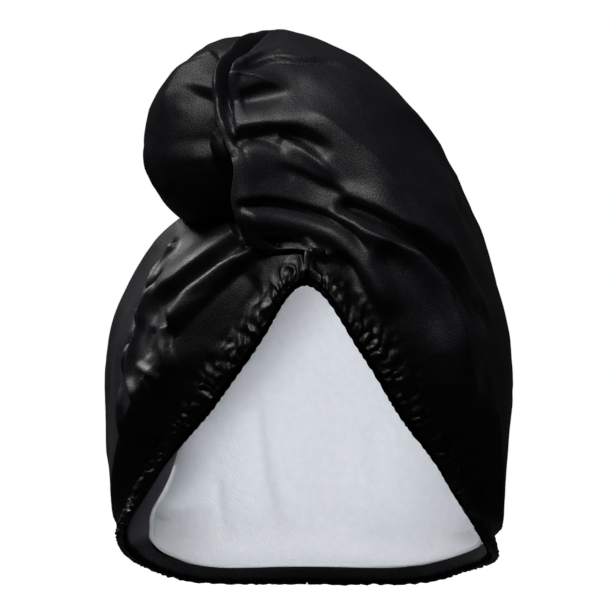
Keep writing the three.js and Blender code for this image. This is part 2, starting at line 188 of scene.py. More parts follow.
# Where the right panel's free edge lies, and the left panel's edge under it.
CROSSING = Table(("tilt", "over", "under"), (
    (0, 82, 82), (20, 82, 82), (38, 79, 79), (50, 77, 77), (58, 77.5, 70), (66, 79.5, 72), (72, 83.5, 76),
    (78, 88.5, 80), (84, 92.5, 85), (90, 96, 88), (100, 99, 91), (108, 103, 94), (115, 105, 95),
    (122, 104, 94), (127, 106, 94), (128.8, 100, 93.5), (130.2, 91, 92),
))
TAIL = Table(("at", "x", "y", "z", "side", "up"), (
    (0, -37, -84, 17, 4, 4), (0.03, -37, -80, 17, 20, 18), (0.09, -37, -66, 17, 36, 33),
    (0.18, -36, -40, 17.5, 45.5, 44.5), (0.32, -29, 0, 29.5, 39, 46), (0.46, -20, 52, 24, 39, 40),
    (0.61, -10, 98, -10, 34, 33), (0.75, -3, 124, -64, 27, 26), (0.87, 1, 129, -118, 20, 18),
    (0.96, 2, 126, -160, 14, 12), (1, 2, 123, -180, 7, 6),
))
# How far the inside of the hem leans into the hood and shows its facing, by turn.
FLARE = Table(("turn", "lean"), (
    (-90, 0), (40, 0), (89, 0), (95, 9), (101, 9), (107, 1), (150, 1), (165, 4), (178, 10), (190, 12),
    (202, 11), (207, 5), (213, 0), (270, 0),
))


def dome(front: float, back: float, power: float, outline: np.ndarray, tilt: np.ndarray) -> np.ndarray:
    """Distance from the hub to a rounded shape.

    Args:
        front: Its reach straight to the front.
        back: Its reach straight back.
        power: How square it is; 2 is an ellipse.
        outline: Its reach at the sides, at each place's turn.
        tilt: Angle of each place from straight back.

    Returns:
        The distance at each place.
    """
    angle = np.radians(tilt)
    across = np.sin(angle) / outline
    along = np.abs(np.cos(angle)) / np.where(tilt > 90, front, back)
    return (across**power + along**power) ** (-1 / power)


def hood_reach(turn: np.ndarray, tilt: np.ndarray) -> np.ndarray:
    """Distance from the hub to the plain cap."""
    return dome(108, 112, 2.3, OUTLINE.at("hood", turn), tilt)


@dataclass
class Hem:
    """The closed line of the hem, measured once and read by share of the way round or by turn."""

    samples: int = 2400
    line: np.ndarray = field(init=False)
    tangents: np.ndarray = field(init=False)
    lengths: np.ndarray = field(init=False)
    edge: Table = field(init=False)

    def __post_init__(self) -> None:
        """Samples the curve, its length and the panels' edge beside it."""
        self.line = self._curve(np.arange(self.samples) / self.samples)
        self.tangents = unit(np.roll(self.line, -1, 0) - np.roll(self.line, 1, 0))
        steps = np.linalg.norm(np.roll(self.line, -1, 0) - self.line, axis=1)
        self.lengths = np.concatenate([[0], np.cumsum(steps)])
        rounds = np.arange(241) / 240
        turn, tilt, drawn = self.beside(rounds, HEM_WIDTH + 1)
        turn[0], turn[-1] = -90, 270
        self.edge = Table(("turn", "tilt", "drawn"), tuple(zip(turn, tilt, drawn)))

    @property
    def length(self) -> float:
        """The hem's whole length."""
        return float(self.lengths[-1])

    def _curve(self, rounds: np.ndarray) -> np.ndarray:
        """Points of the closed curve through the hem's corners, paced by the root of their distances."""
        count = len(HEM_LINE)
        place = rounds * count
        i = np.floor(place).astype(int)
        t = (place - i)[:, None]
        a, b, c, d = (HEM_LINE[(i + k) % count] for k in (-1, 0, 1, 2))
        ab, bc, cd = (np.sqrt(np.linalg.norm(q - p, axis=1))[:, None] for p, q in ((a, b), (b, c), (c, d)))
        leaving = bc * ((b - a) / ab - (c - a) / (ab + bc) + (c - b) / bc)
        arriving = bc * ((c - b) / bc - (d - b) / (bc + cd) + (d - c) / cd)
        bend = 2 * b - 2 * c + leaving + arriving
        return b + leaving * t + (3 * (c - b) - 2 * leaving - arriving) * t**2 + bend * t**3

    def read(self, values: np.ndarray, rounds: np.ndarray) -> np.ndarray:
        """Values sampled round the hem, read between the samples."""
        place = (rounds % 1) * self.samples
        i = place.astype(int)
        share = place - i
        if values.ndim > 1:
            share = share[..., None]
        return lerp(values[i % self.samples], values[(i + 1) % self.samples], share)

    def travelled(self, rounds: np.ndarray) -> np.ndarray:
        """Length of hem from the nape to shares of the way round."""
        return np.interp(rounds, np.arange(self.samples + 1) / self.samples, self.lengths)

    def beside(self, rounds: np.ndarray, inward: np.ndarray) -> tuple[np.ndarray, np.ndarray, np.ndarray]:
        """Places beside the hem.

        Args:
            rounds: Shares of the way round.
            inward: Distance from the hem, away from the opening.

        Returns:
            Their turn and tilt, and how far the hem is drawn in there.
        """
        point = self.read(self.line, rounds)
        out = unit(point - HUB)
        away = unit(np.cross(self.read(self.tangents, rounds), out))
        turn, tilt, _ = bearing_of(point + away * np.asarray(inward)[..., None])
        hem_turn, hem_tilt, hem_reach = bearing_of(point)
        return turn, tilt, hood_reach(hem_turn, hem_tilt) - hem_reach


HEM = Hem()
FOREHEAD = tuple(float(v) for v in HEM.beside(np.array(0.5), HEM_WIDTH + 1))


def edge_share(share: np.ndarray) -> np.ndarray:
    """Places round the hem for even steps from nape to nape, closest together at the forehead."""
    spread = 2 * share - 1
    return (1 + np.sign(spread) * np.abs(spread) ** 1.4) / 2


def drawn_in(turn: np.ndarray, from_hem: np.ndarray) -> np.ndarray:
    """How far the cloth is drawn in from the hood's shape near the hem."""
    return HEM.edge.at("drawn", turn) * (1 - ease(0, FULLNESS, from_hem))


def tail_reach(turn: np.ndarray, tilt: np.ndarray) -> np.ndarray:
    """Distance from the hub to the far side of the tail, falling away quickly beside it."""
    way = place_at(turn, tilt, np.ones_like(tilt)) - HUB
    most = np.zeros_like(tilt)
    for along in (np.arange(40) + 0.5) / 40:
        centre = np.array([float(TAIL.at(key, along)) for key in ("x", "y", "z")]) - HUB
        radius = max(float(TAIL.at("side", along)), float(TAIL.at("up", along))) + 0.4
        near = way @ centre
        spare = radius**2 - centre @ centre + near**2
        most = np.maximum(most, near + spare / np.sqrt(np.abs(spare) + 64))
    return most


def tilt_from_hem(turn: np.ndarray, tilt: np.ndarray) -> np.ndarray:
    """How many degrees of tilt a place lies inside the panels' edge."""
    return HEM.edge.at("tilt", turn) - tilt


def drawn_reach(turn: np.ndarray, tilt: np.ndarray) -> np.ndarray:
    """Distance from the hub to the cap drawn in at the hem, which the left panel follows below its folds."""
    return hood_reach(turn, tilt) - drawn_in(turn, tilt_from_hem(turn, tilt))


def right_reach(turn: np.ndarray, tilt: np.ndarray) -> np.ndarray:
    """Distance from the hub to the right panel below its folds: up over the tail, and over the left panel."""
    from_hem = tilt_from_hem(turn, tilt)
    swept = dome(116, 112, 2.5, OUTLINE.at("sweep", turn), tilt)
    share = ease(50, 86, tilt) * ease(0, 14, from_hem)
    plain = lerp(hood_reach(turn, tilt), swept, share) - drawn_in(turn, from_hem)
    over_tail = ease(50, 60, tilt) * (1 - ease(112, 118, tilt)) * (tail_reach(turn, tilt) + SATIN_WALL)
    blend = np.clip(0.5 + (plain - over_tail) / 8, 0, 1)
    drawn = lerp(over_tail, plain, blend) + 4 * blend * (1 - blend)
    lap = ease(-8, -3, turn - CROSSING.at("under", tilt)) * ease(44, 52, tilt) * (1 - ease(130, 134, tilt))
    return np.where(lap > 0, np.maximum(drawn, drawn_reach(turn, tilt) + lap * LAP_STEP), drawn)


# ---- Folds ----
class View(Enum):
    """From where a fold's path is given: two axes, and the way that the looker faces."""

    FRONT = (0, 2, (0, 1, 0))
    BACK = (0, 2, (0, -1, 0))
    RIGHT = (1, 2, (-1, 0, 0))
    LEFT = (1, 2, (1, 0, 0))


@dataclass(frozen=True)
class Fold:
    """A fold or crease of the cloth, along a path drawn in one view.

    rise is its height, negative for a crease. above and below are its half widths on the left and right hand
    of its path, and sharp is 2 for a round crest and less for a keen one. fade is the share of each end over
    which it fades, and grow its width at each end. With a drop it is a lap: the cloth on the left hand ends
    in a step of rise and drop over the cloth on the right, and the step is about this wide.
    """

    name: str
    path: tuple[tuple[float, float], ...]
    rise: float
    above: float
    below: float
    sharp: float = 2.0
    fade: tuple[float, float] = (0.12, 0.3)
    grow: tuple[float, float] = (0.75, 1.25)
    view: View = View.FRONT
    drop: float = 0.0
    step: float = 3.6


@dataclass
class Sheet:
    """A grid of points on a smooth base surface: columns by rows, with the normals of the base."""

    base: np.ndarray
    closed: bool
    normals: np.ndarray = field(init=False)
    lift: np.ndarray = field(init=False)

    def __post_init__(self) -> None:
        """Works out the base's normals."""
        self.normals = self.normals_of(self.base)
        self.lift = np.zeros(self.base.shape[:2])

    def normals_of(self, points: np.ndarray) -> np.ndarray:
        """Unit normals of a grid, on the side away from the hub on average."""
        if self.closed:
            across = np.roll(points, -1, 0) - np.roll(points, 1, 0)
        else:
            across = np.gradient(points, axis=0)
        normals = unit(np.cross(np.gradient(points, axis=1), across))
        normals[:, -1] = unit(normals[:, -3].mean(0))
        away = np.sum(normals * (points - points.mean((0, 1))))
        return normals if away > 0 else -normals

    def find(self, fold: Fold) -> np.ndarray:
        """The points of the base that a fold's path shows in its view.

        Args:
            fold: The fold.

        Returns:
            One point for each point of the path.
        """
        u, v, way = fold.view.value
        way = np.array(way, float)
        facing = (self.normals @ way) < 0.25
        points = self.base[facing]
        depth = points @ way
        found = []
        for a, b in fold.path:
            off = np.hypot(points[:, u] - a, points[:, v] - b)
            near = off < max(4.0, off.min() + 1)
            found.append(points[near][np.argmin(depth[near] + 3 * off[near])])
        return np.array(found)

    def add(self, fold: Fold) -> None:
        """Lifts the cloth along a fold.

        Args:
            fold: The fold.
        """
        line = through(self.find(fold), 10)
        reach = 3.2 * max(fold.above, fold.below) * max(fold.grow)
        near = np.all((self.base > line.min(0) - reach) & (self.base < line.max(0) + reach), -1)
        spots, normals = self.base[near], self.normals[near]
        best = np.full(len(spots), np.inf)
        side, along = np.zeros(len(spots)), np.zeros(len(spots))
        for k, (a, b) in enumerate(zip(line, line[1:])):
            step = b - a
            share = np.clip((spots - a) @ step / max(step @ step, 1e-9), 0, 1)
            off = spots - a - share[:, None] * step
            deep = np.sum(off * normals, -1)
            flat = np.sqrt(np.maximum(np.sum(off * off, -1) - deep**2, 0)) + np.maximum(np.abs(deep) - 12, 0)
            closer = flat < best
            best = np.where(closer, flat, best)
            hand = np.sum(off * np.cross(normals, step), -1)
            side = np.where(closer, hand, side)
            along = np.where(closer, (k + share) / (len(line) - 1), along)
        width = np.where(side > 0, fold.above, fold.below) * lerp(fold.grow[0], fold.grow[1], along)
        fade = ease(0, fold.fade[0], along) * (1 - ease(1 - fold.fade[1], 1, along))
        upper = ease(1.6 - fold.step, 1.6, side) if fold.drop else 1.0
        height = upper * fold.rise - (1 - upper) * fold.drop
        self.lift[near] += fade * height * np.exp(-((best / width) ** fold.sharp))

    def raised(self, deepest: np.ndarray | float, highest: float) -> np.ndarray:
        """The lifted points, none of them past these distances below and above the base."""
        limit = np.where(self.lift < 0, deepest, highest)
        self.lift = limit * np.tanh(self.lift / limit)
        return self.base + self.normals * self.lift[..., None]


@dataclass(frozen=True)
class Tucks:
    """One size of gather on the elastic: rounded tucks side by side, at a spacing along the hem.

    depth is their height, peak the distance from the hem's seam where they are deepest, and last where they
    end.
    """

    spacing: float
    depth: float
    peak: float
    last: float
    seed: int
    early: float = 0.3  # how soon they start, in shares of peak before the seam

    def lift(self, travelled: np.ndarray, away: np.ndarray, spots: np.ndarray) -> np.ndarray:
        """How far the tucks lift the cloth.

        Args:
            travelled: Length along the hem at each point.
            away: Distance of each point from the hem's seam.
            spots: The points themselves.

        Returns:
            The lift at each point.
        """
        stray = self.spacing * (0.5 * ripple(spots, 3.2 * self.spacing, self.seed)
                                + 0.9 * ripple(spots, 9 * self.spacing, self.seed + 1))
        wave = np.abs(np.cos(math.pi * (travelled + stray) / self.spacing)) ** 0.8 - 0.6
        rise = ease(-self.early * self.peak, self.peak, away) * (1 - ease(self.peak, self.last, away))
        uneven = 0.75 + 0.45 * ripple(spots, 4 * self.spacing, self.seed + 2)
        return self.depth * rise * np.clip(uneven, 0.1, 1.4) * wave


GATHERS = (
    Tucks(4.6, 1.5, 2.5, 10, 11, 1.6),
    Tucks(6.4, 2.2, 8, 19, 21, 0.8),
    Tucks(10.0, 1.4, 15, 30, 31),
)


# ---- Meshes ----
def strip(fine: np.ndarray, coarse: np.ndarray) -> list[tuple[int, ...]]:
    """Triangles between a row of points and one with every second point."""
    faces: list[tuple[int, ...]] = []
    for k in range(len(coarse) - 1):
        a, b, c = fine[2 * k:2 * k + 3]
        faces += [(a, b, coarse[k]), (b, c, coarse[k + 1]), (b, coarse[k + 1], coarse[k])]
    return faces


def quads(ids: np.ndarray) -> list[tuple[int, ...]]:
    """Faces of a grid of point numbers; a face with a point twice becomes a triangle."""
    corners = np.stack([ids[:-1, :-1], ids[:-1, 1:], ids[1:, 1:], ids[1:, :-1]], -1).reshape(-1, 4)
    return [tuple(dict.fromkeys(corner)) for corner in corners.tolist()]


def tube(stations: int, sides: int) -> list[tuple[int, ...]]:
    """Faces of a closed ring of stations, each a closed round of sides."""
    ids = np.arange(stations * sides).reshape(stations, sides)
    ids = np.vstack([ids, ids[:1]])
    return quads(np.hstack([ids, ids[:, :1]]))


def make_object(name: str, points: np.ndarray, faces: list[tuple[int, ...]], cloth: np.ndarray,
                shares: dict[str, np.ndarray]) -> bpy.types.Object:
    """A smooth mesh object from points in millimetres; it logs how many edges are left open.

    Args:
        name: The piece's name.
        points: Its points, one a row.
        faces: Its faces, as point numbers.
        cloth: Each point's place on the flat cloth in millimetres, for the UV map.
        shares: Named values for the points, which the materials read.

    Returns:
        The object, at the origin.
    """
    mesh = bpy.data.meshes.new(name)
    mesh.from_pydata((points * MM).tolist(), [], faces)
    for key, values in shares.items():
        mesh.attributes.new(key, "FLOAT", "POINT").data.foreach_set("value", values.astype(np.float32))
    corners = np.zeros(len(mesh.loops), np.int32)
    mesh.loops.foreach_get("vertex_index", corners)
    layer = mesh.uv_layers.new(name="cloth")
    layer.data.foreach_set("uv", (cloth[corners] * MM).astype(np.float32).ravel())
    made = bmesh.new()
    made.from_mesh(mesh)
    bmesh.ops.recalc_face_normals(made, faces=made.faces)
    if made.calc_volume(signed=True) < 0:
        bmesh.ops.reverse_faces(made, faces=made.faces)
    open_edges = sum(1 for edge in made.edges if len(edge.link_faces) != 2)
    triangles = sum(len(face.verts) - 2 for face in made.faces)
    made.to_mesh(mesh)
    made.free()
    mesh.shade_smooth()
    piece = bpy.data.objects.new(name, mesh)
    bpy.context.scene.collection.objects.link(piece)
    log.info("%s: %d triangles, %d open edges", name, triangles, open_edges)
    return piece


def tree_of(pieces: list[bpy.types.Object]) -> BVHTree:
    """A search tree over the faces of pieces."""
    points: list[Vector] = []
    faces: list[tuple[int, ...]] = []
    for piece in pieces:
        first = len(points)
        points += [vertex.co / MM for vertex in piece.data.vertices]
        faces += [tuple(first + k for k in face.vertices) for face in piece.data.polygons]
    return BVHTree.FromPolygons(points, faces)


def reach_of(tree: BVHTree, points: np.ndarray) -> np.ndarray:
    """Distance from the hub to a tree's outermost surface in the way of each point, or 0 where it has none."""
    ways = unit(points.reshape(-1, 3) - HUB)
    found = []
    for way in ways:
        hit = tree.ray_cast(Vector(HUB + way * RAY_START), Vector(-way))
        found.append(0.0 if hit[0] is None else RAY_START - hit[3])
    return np.array(found).reshape(points.shape[:-1])


def walled(name: str, outer: np.ndarray, normals: np.ndarray, lift: np.ndarray, thick: float,
           cloth: np.ndarray, shares: dict[str, np.ndarray]) -> bpy.types.Object:
    """A closed wall whose fine face is a grid, with a coarser face behind it.

    Args:
        name: The piece's name.
        outer: The fine face's grid. Its last row is one point.
        normals: The way from the coarse face to the fine one.
        lift: How far each point stands off the base; the coarse face keeps under its low spots.
        thick: The wall's thickness.
        cloth: Each fine point's place on the flat cloth.
        shares: Named values for the fine points.

    Returns:
        The object.
    """
    columns, rows = outer.shape[0] - 1, outer.shape[1] - 1
    padded = np.pad(lift, 1, mode="edge")
    lowest = np.min([padded[i:i + columns + 1, j:j + rows + 1] for i in range(3) for j in range(3)], 0)
    inner = (outer + normals * (lowest - lift - thick)[..., None])[::2, ::2]
    fine = np.arange((columns + 1) * (rows + 1)).reshape(columns + 1, rows + 1)
    fine[:, -1] = fine[0, -1]
    start = fine.size
    coarse = start + np.arange(inner.shape[0] * inner.shape[1]).reshape(inner.shape[:2])
    coarse[:, -1] = coarse[0, -1]
    ring = np.allclose(outer[0], outer[-1])
    if ring:
        fine[-1], coarse[-1] = fine[0], coarse[0]
    faces = quads(fine) + [face[::-1] for face in quads(coarse)]
    faces += strip(fine[:, 0], coarse[:, 0])
    if not ring:
        for side in (0, -1):
            faces += strip(fine[side], coarse[side])
    points = np.vstack([outer.reshape(-1, 3), inner.reshape(-1, 3)])
    flat = np.vstack([cloth.reshape(-1, 2), cloth[::2, ::2].reshape(-1, 2)])
    known = {key: np.concatenate([v.ravel(), v[::2, ::2].ravel()]) for key, v in shares.items()}
    return make_compact(name, points, faces, flat, known)


def make_compact(name: str, points: np.ndarray, faces: list[tuple[int, ...]], cloth: np.ndarray,
                 shares: dict[str, np.ndarray]) -> bpy.types.Object:
    """An object without the points that no face uses; faces of fewer than three points are left out."""
    faces = [face for face in faces if len(set(face)) > 2]
    used = np.unique(np.concatenate([np.array(face) for face in faces]))
    number = np.full(len(points), -1)
    number[used] = np.arange(len(used))
    faces = [tuple(int(number[k]) for k in face) for face in faces]
    return make_object(name, points[used], faces, cloth[used], {key: v[used] for key, v in shares.items()})


# ---- Finishes ----
class Wiring:
    """A node tree being wired: it adds nodes and joins their sockets."""

    def __init__(self, tree: bpy.types.NodeTree) -> None:
        """Starts on a node tree."""
        self.tree = tree

    def add(self, kind: str, settings: dict[str, object] | None = None, **inputs: object) -> bpy.types.Node:
        """Adds a node.

        Args:
            kind: The node's type, without the ShaderNode at its front.
            settings: Its own settings by name.
            **inputs: What goes into each socket: another node's output or a value. _ stands for a space.

        Returns:
            The node.
        """
        node = self.tree.nodes.new(kind if kind.startswith("Node") else "ShaderNode" + kind)
        for key, value in (settings or {}).items():
            setattr(node, key, value)
        for key, value in inputs.items():
            name = key.replace("_", " ")
            socket = node.inputs[int(name[5:])] if name.startswith("input") else node.inputs[name]
            if isinstance(value, bpy.types.NodeSocket):
                self.tree.links.new(value, socket)
            else:
                socket.default_value = value
        return node

    def math(self, operation: str, a: object, b: object) -> bpy.types.NodeSocket:
        """The output of a math node on two values."""
        return self.add("Math", {"operation": operation}, input0=a, input1=b).outputs[0]


def group(name: str, inputs: dict[str, float], outputs: tuple[str, ...],
          ) -> tuple[bpy.types.NodeTree, Wiring, bpy.types.Node, bpy.types.Node]:
    """A new shader node group of values.

    Args:
        name: The group's name.
        inputs: Its inputs and their usual values.
        outputs: Its outputs.

    Returns:
        The group, its wiring, and its input and output nodes.
    """
    tree = bpy.data.node_groups.new(name, "ShaderNodeTree")
    for key, value in inputs.items():
        tree.interface.new_socket(key, in_out="INPUT", socket_type="NodeSocketFloat").default_value = value
    for key in outputs:
        tree.interface.new_socket(key, in_out="OUTPUT", socket_type="NodeSocketFloat")
    wiring = Wiring(tree)
    return tree, wiring, wiring.add("NodeGroupInput"), wiring.add("NodeGroupOutput")


def weave_group() -> bpy.types.NodeTree:
    """Long fine threads that lie along the cloth's own length, as the height and gleam of a satin face."""
    tree, wiring, given, result = group("weave", {"Across": 7000.0, "Along": 700.0}, ("Height", "Gleam"))
    place = wiring.add("UVMap", {"uv_map": "cloth"})
    parts = wiring.add("SeparateXYZ", Vector=place.outputs["UV"])
    u = wiring.math("MULTIPLY", parts.outputs["X"], given.outputs["Across"])
    v = wiring.math("MULTIPLY", parts.outputs["Y"], given.outputs["Along"])
    thread = wiring.add("CombineXYZ", X=u, Y=v)
    fibres = wiring.add("TexNoise", Vector=thread.outputs["Vector"], Scale=1.0, Detail=1.0)
    sparkle = wiring.add("TexNoise", Vector=thread.outputs["Vector"], Scale=0.35, Detail=2.0)
    wiring.tree.links.new(fibres.outputs["Fac"], result.inputs["Height"])
    wiring.tree.links.new(sparkle.outputs["Fac"], result.inputs["Gleam"])
    return tree


def grain_group() -> bpy.types.NodeTree:
    """Unevenness of the cloth: fine grain, and slow wandering over the whole piece."""
    tree, wiring, given, result = group("grain", {"Fine": 900.0, "Slow": 18.0}, ("Grain", "Wander"))
    place = wiring.add("TexCoord").outputs["Object"]
    fine = wiring.add("TexNoise", Vector=place, Scale=given.outputs["Fine"], Detail=2.0, Roughness=0.6)
    slow = wiring.add("TexNoise", Vector=place, Scale=given.outputs["Slow"], Detail=3.0)
    wiring.tree.links.new(fine.outputs["Fac"], result.inputs["Grain"])
    wiring.tree.links.new(slow.outputs["Fac"], result.inputs["Wander"])
    return tree


def pile_group() -> bpy.types.NodeTree:
    """The short looped pile of towelling: close tufts with softer hollows among them, and a mask of the
    hollows that places the painted shade.
    """
    tree, wiring, given, result = group("pile", {"Tufts": 800.0}, ("Height", "Hollow_Shade"))
    place = wiring.add("TexCoord").outputs["Object"]
    tufts = wiring.add("TexVoronoi", {"feature": "SMOOTH_F1"}, Vector=place, Scale=given.outputs["Tufts"])
    soft = wiring.add("TexNoise", Vector=place, Scale=260.0, Detail=3.0)
    height = wiring.math("SUBTRACT", soft.outputs["Fac"], tufts.outputs["Distance"])
    wiring.tree.links.new(height, result.inputs["Height"])
    # This mask is low in the pile's hollows, where the towelling gets its painted shade.
    wiring.tree.links.new(soft.outputs["Fac"], result.inputs["Hollow_Shade"])
    return tree


WEAVE, GRAIN, PILE = weave_group(), grain_group(), pile_group()


def finish(name: str) -> tuple[bpy.types.Material, Wiring, bpy.types.Node]:
    """A new material, its wiring and its Principled BSDF."""
    material = bpy.data.materials.new(name)
    material.use_nodes = True
    return material, Wiring(material.node_tree), material.node_tree.nodes["Principled BSDF"]


def blend(wiring: Wiring, a: tuple[float, ...], b: tuple[float, ...],
          factor: bpy.types.NodeSocket) -> bpy.types.Node:
    """A mix of two colours: a where the factor is 0, and b where it is 1."""
    mixed = wiring.add("Mix", {"data_type": "RGBA"}, Factor=factor)
    mixed.inputs["A"].default_value = (*a, 1)
    mixed.inputs["B"].default_value = (*b, 1)
    return mixed


def dress(wiring: Wiring, shader: bpy.types.Node, colour: bpy.types.Node, bump: bpy.types.Node,
          specular: float) -> None:
    """Joins a colour and a bump to a shader, and sets its gloss."""
    wiring.tree.links.new(colour.outputs["Result"], shader.inputs["Base Color"])
    wiring.tree.links.new(bump.outputs["Normal"], shader.inputs["Normal"])
    shader.inputs["Specular IOR Level"].default_value = specular


@dataclass(frozen=True)
class Satin:
    """Black satin with a faint grain; where the ruching attribute is 1, over the gathers near the hem, it is a
    little glossier, and darker as painted shade in their creases.
    """

    name: str
    colour: tuple[float, float, float] = (0.0034, 0.0031, 0.0043)
    lighter: tuple[float, float, float] = (0.0105, 0.0098, 0.0132)
    # painted shade: the darker satin colour laid into the gathers' creases near the hem
    deep: tuple[float, float, float] = (0.0012, 0.0011, 0.0016)
    roughness: tuple[float, float] = (0.36, 0.54)
    specular: float = 0.38
    weave: float = 0.16
    grain: float = 0.45

    def make(self) -> bpy.types.Material:
        """The material."""
        material, wiring, shader = finish(self.name)
        weave = wiring.add("Group", {"node_tree": WEAVE}, Across=7000.0, Along=700.0)
        grain = wiring.add("Group", {"node_tree": GRAIN}, Fine=1100.0, Slow=20.0)
        mixed = blend(wiring, self.colour, self.lighter, grain.outputs["Grain"])
        # The ruching share paints that shade into the gathers, and lowers the roughness there.
        ruched_and_shade = wiring.add("Attribute", {"attribute_name": "ruched_and_shade"}).outputs["Fac"]
        shaded = blend(wiring, self.colour, self.deep, ruched_and_shade)
        wiring.tree.links.new(mixed.outputs["Result"], shaded.inputs["A"])
        spread = wiring.add("MapRange", Value=grain.outputs["Grain"], From_Min=0.3, From_Max=0.7,
                            To_Min=self.roughness[0], To_Max=self.roughness[1])
        rough = wiring.math("ADD", spread.outputs["Result"], wiring.math("MULTIPLY", ruched_and_shade, -0.06))
        fine = wiring.add("Bump", Strength=self.grain, Distance=0.0004, Height=grain.outputs["Grain"])
        bump = wiring.add("Bump", Strength=self.weave, Distance=0.0002, Height=weave.outputs["Height"],
                          Normal=fine.outputs["Normal"])
        wiring.tree.links.new(rough, shader.inputs["Roughness"])
        dress(wiring, shader, shaded, bump, self.specular)
        return material


@dataclass(frozen=True)
class Casing:
    """The hem's casing: black satin outside, and black satin on its facing inside too; where the attribute
    "facing" is 1, the facing is painted grey as light from the white lining falling on it.
    """

    name: str = "casing"
    outside: tuple[float, float, float] = (0.0022, 0.0021, 0.0030)
    # painted light: this grey stands in for light from the white lining on the black satin facing
    facing: tuple[float, float, float] = (0.24, 0.225, 0.28)

    def make(self) -> bpy.types.Material:
        """The material."""
        material, wiring, shader = finish(self.name)
        weave = wiring.add("Group", {"node_tree": WEAVE}, Across=5000.0, Along=900.0)
        grain = wiring.add("Group", {"node_tree": GRAIN}, Fine=900.0, Slow=40.0)
        # The facing share paints that light on, made uneven by the grain.
        side = wiring.add("Attribute", {"attribute_name": "facing"}).outputs["Fac"]
        shade = wiring.math("MULTIPLY", side, wiring.math("ADD", grain.outputs["Grain"], 0.5))
        mixed = blend(wiring, self.outside, self.facing, shade)
        bump = wiring.add("Bump", Strength=0.25, Distance=0.0003, Height=weave.outputs["Height"])
        shader.inputs["Roughness"].default_value = 0.7
        dress(wiring, shader, mixed, bump, 0.1)
        return material


@dataclass(frozen=True)
class Towelling:
    """White microfibre towelling, painted darker and a little blue in the hollows of its pile as shade."""

    name: str = "towelling"
    colour: tuple[float, float, float] = (0.82, 0.84, 0.87)
    # painted shade: the towelling's colour in the hollows of its pile
    hollow_shade: tuple[float, float, float] = (0.70, 0.73, 0.79)

    def make(self) -> bpy.types.Material:
        """The material."""
        material, wiring, shader = finish(self.name)
        pile = wiring.add("Group", {"node_tree": PILE}, Tufts=850.0)
        # Painted shade in the hollows of the pile.
        mixed = blend(wiring, self.hollow_shade, self.colour, pile.outputs["Hollow_Shade"])
        bump = wiring.add("Bump", Strength=0.35, Distance=0.0006, Height=pile.outputs["Height"])
        shader.inputs["Roughness"].default_value = 0.95
        shader.inputs["Sheen Weight"].default_value = 0.3
        dress(wiring, shader, mixed, bump, 0.2)
        return material


# ---- The pieces ----
def lap(name: str, path: tuple[tuple[float, float], ...], rise: float, drop: float, above: float,
        below: float, fade: tuple[float, float] = (0.1, 0.3), sharp: float = 2.0, step: float = 3.6) -> Fold:
    """A fold of one width whose upper cloth ends in a step over the lower."""
    return Fold(name, path, rise, above, below, sharp, fade, (1, 1), drop=drop, step=step)


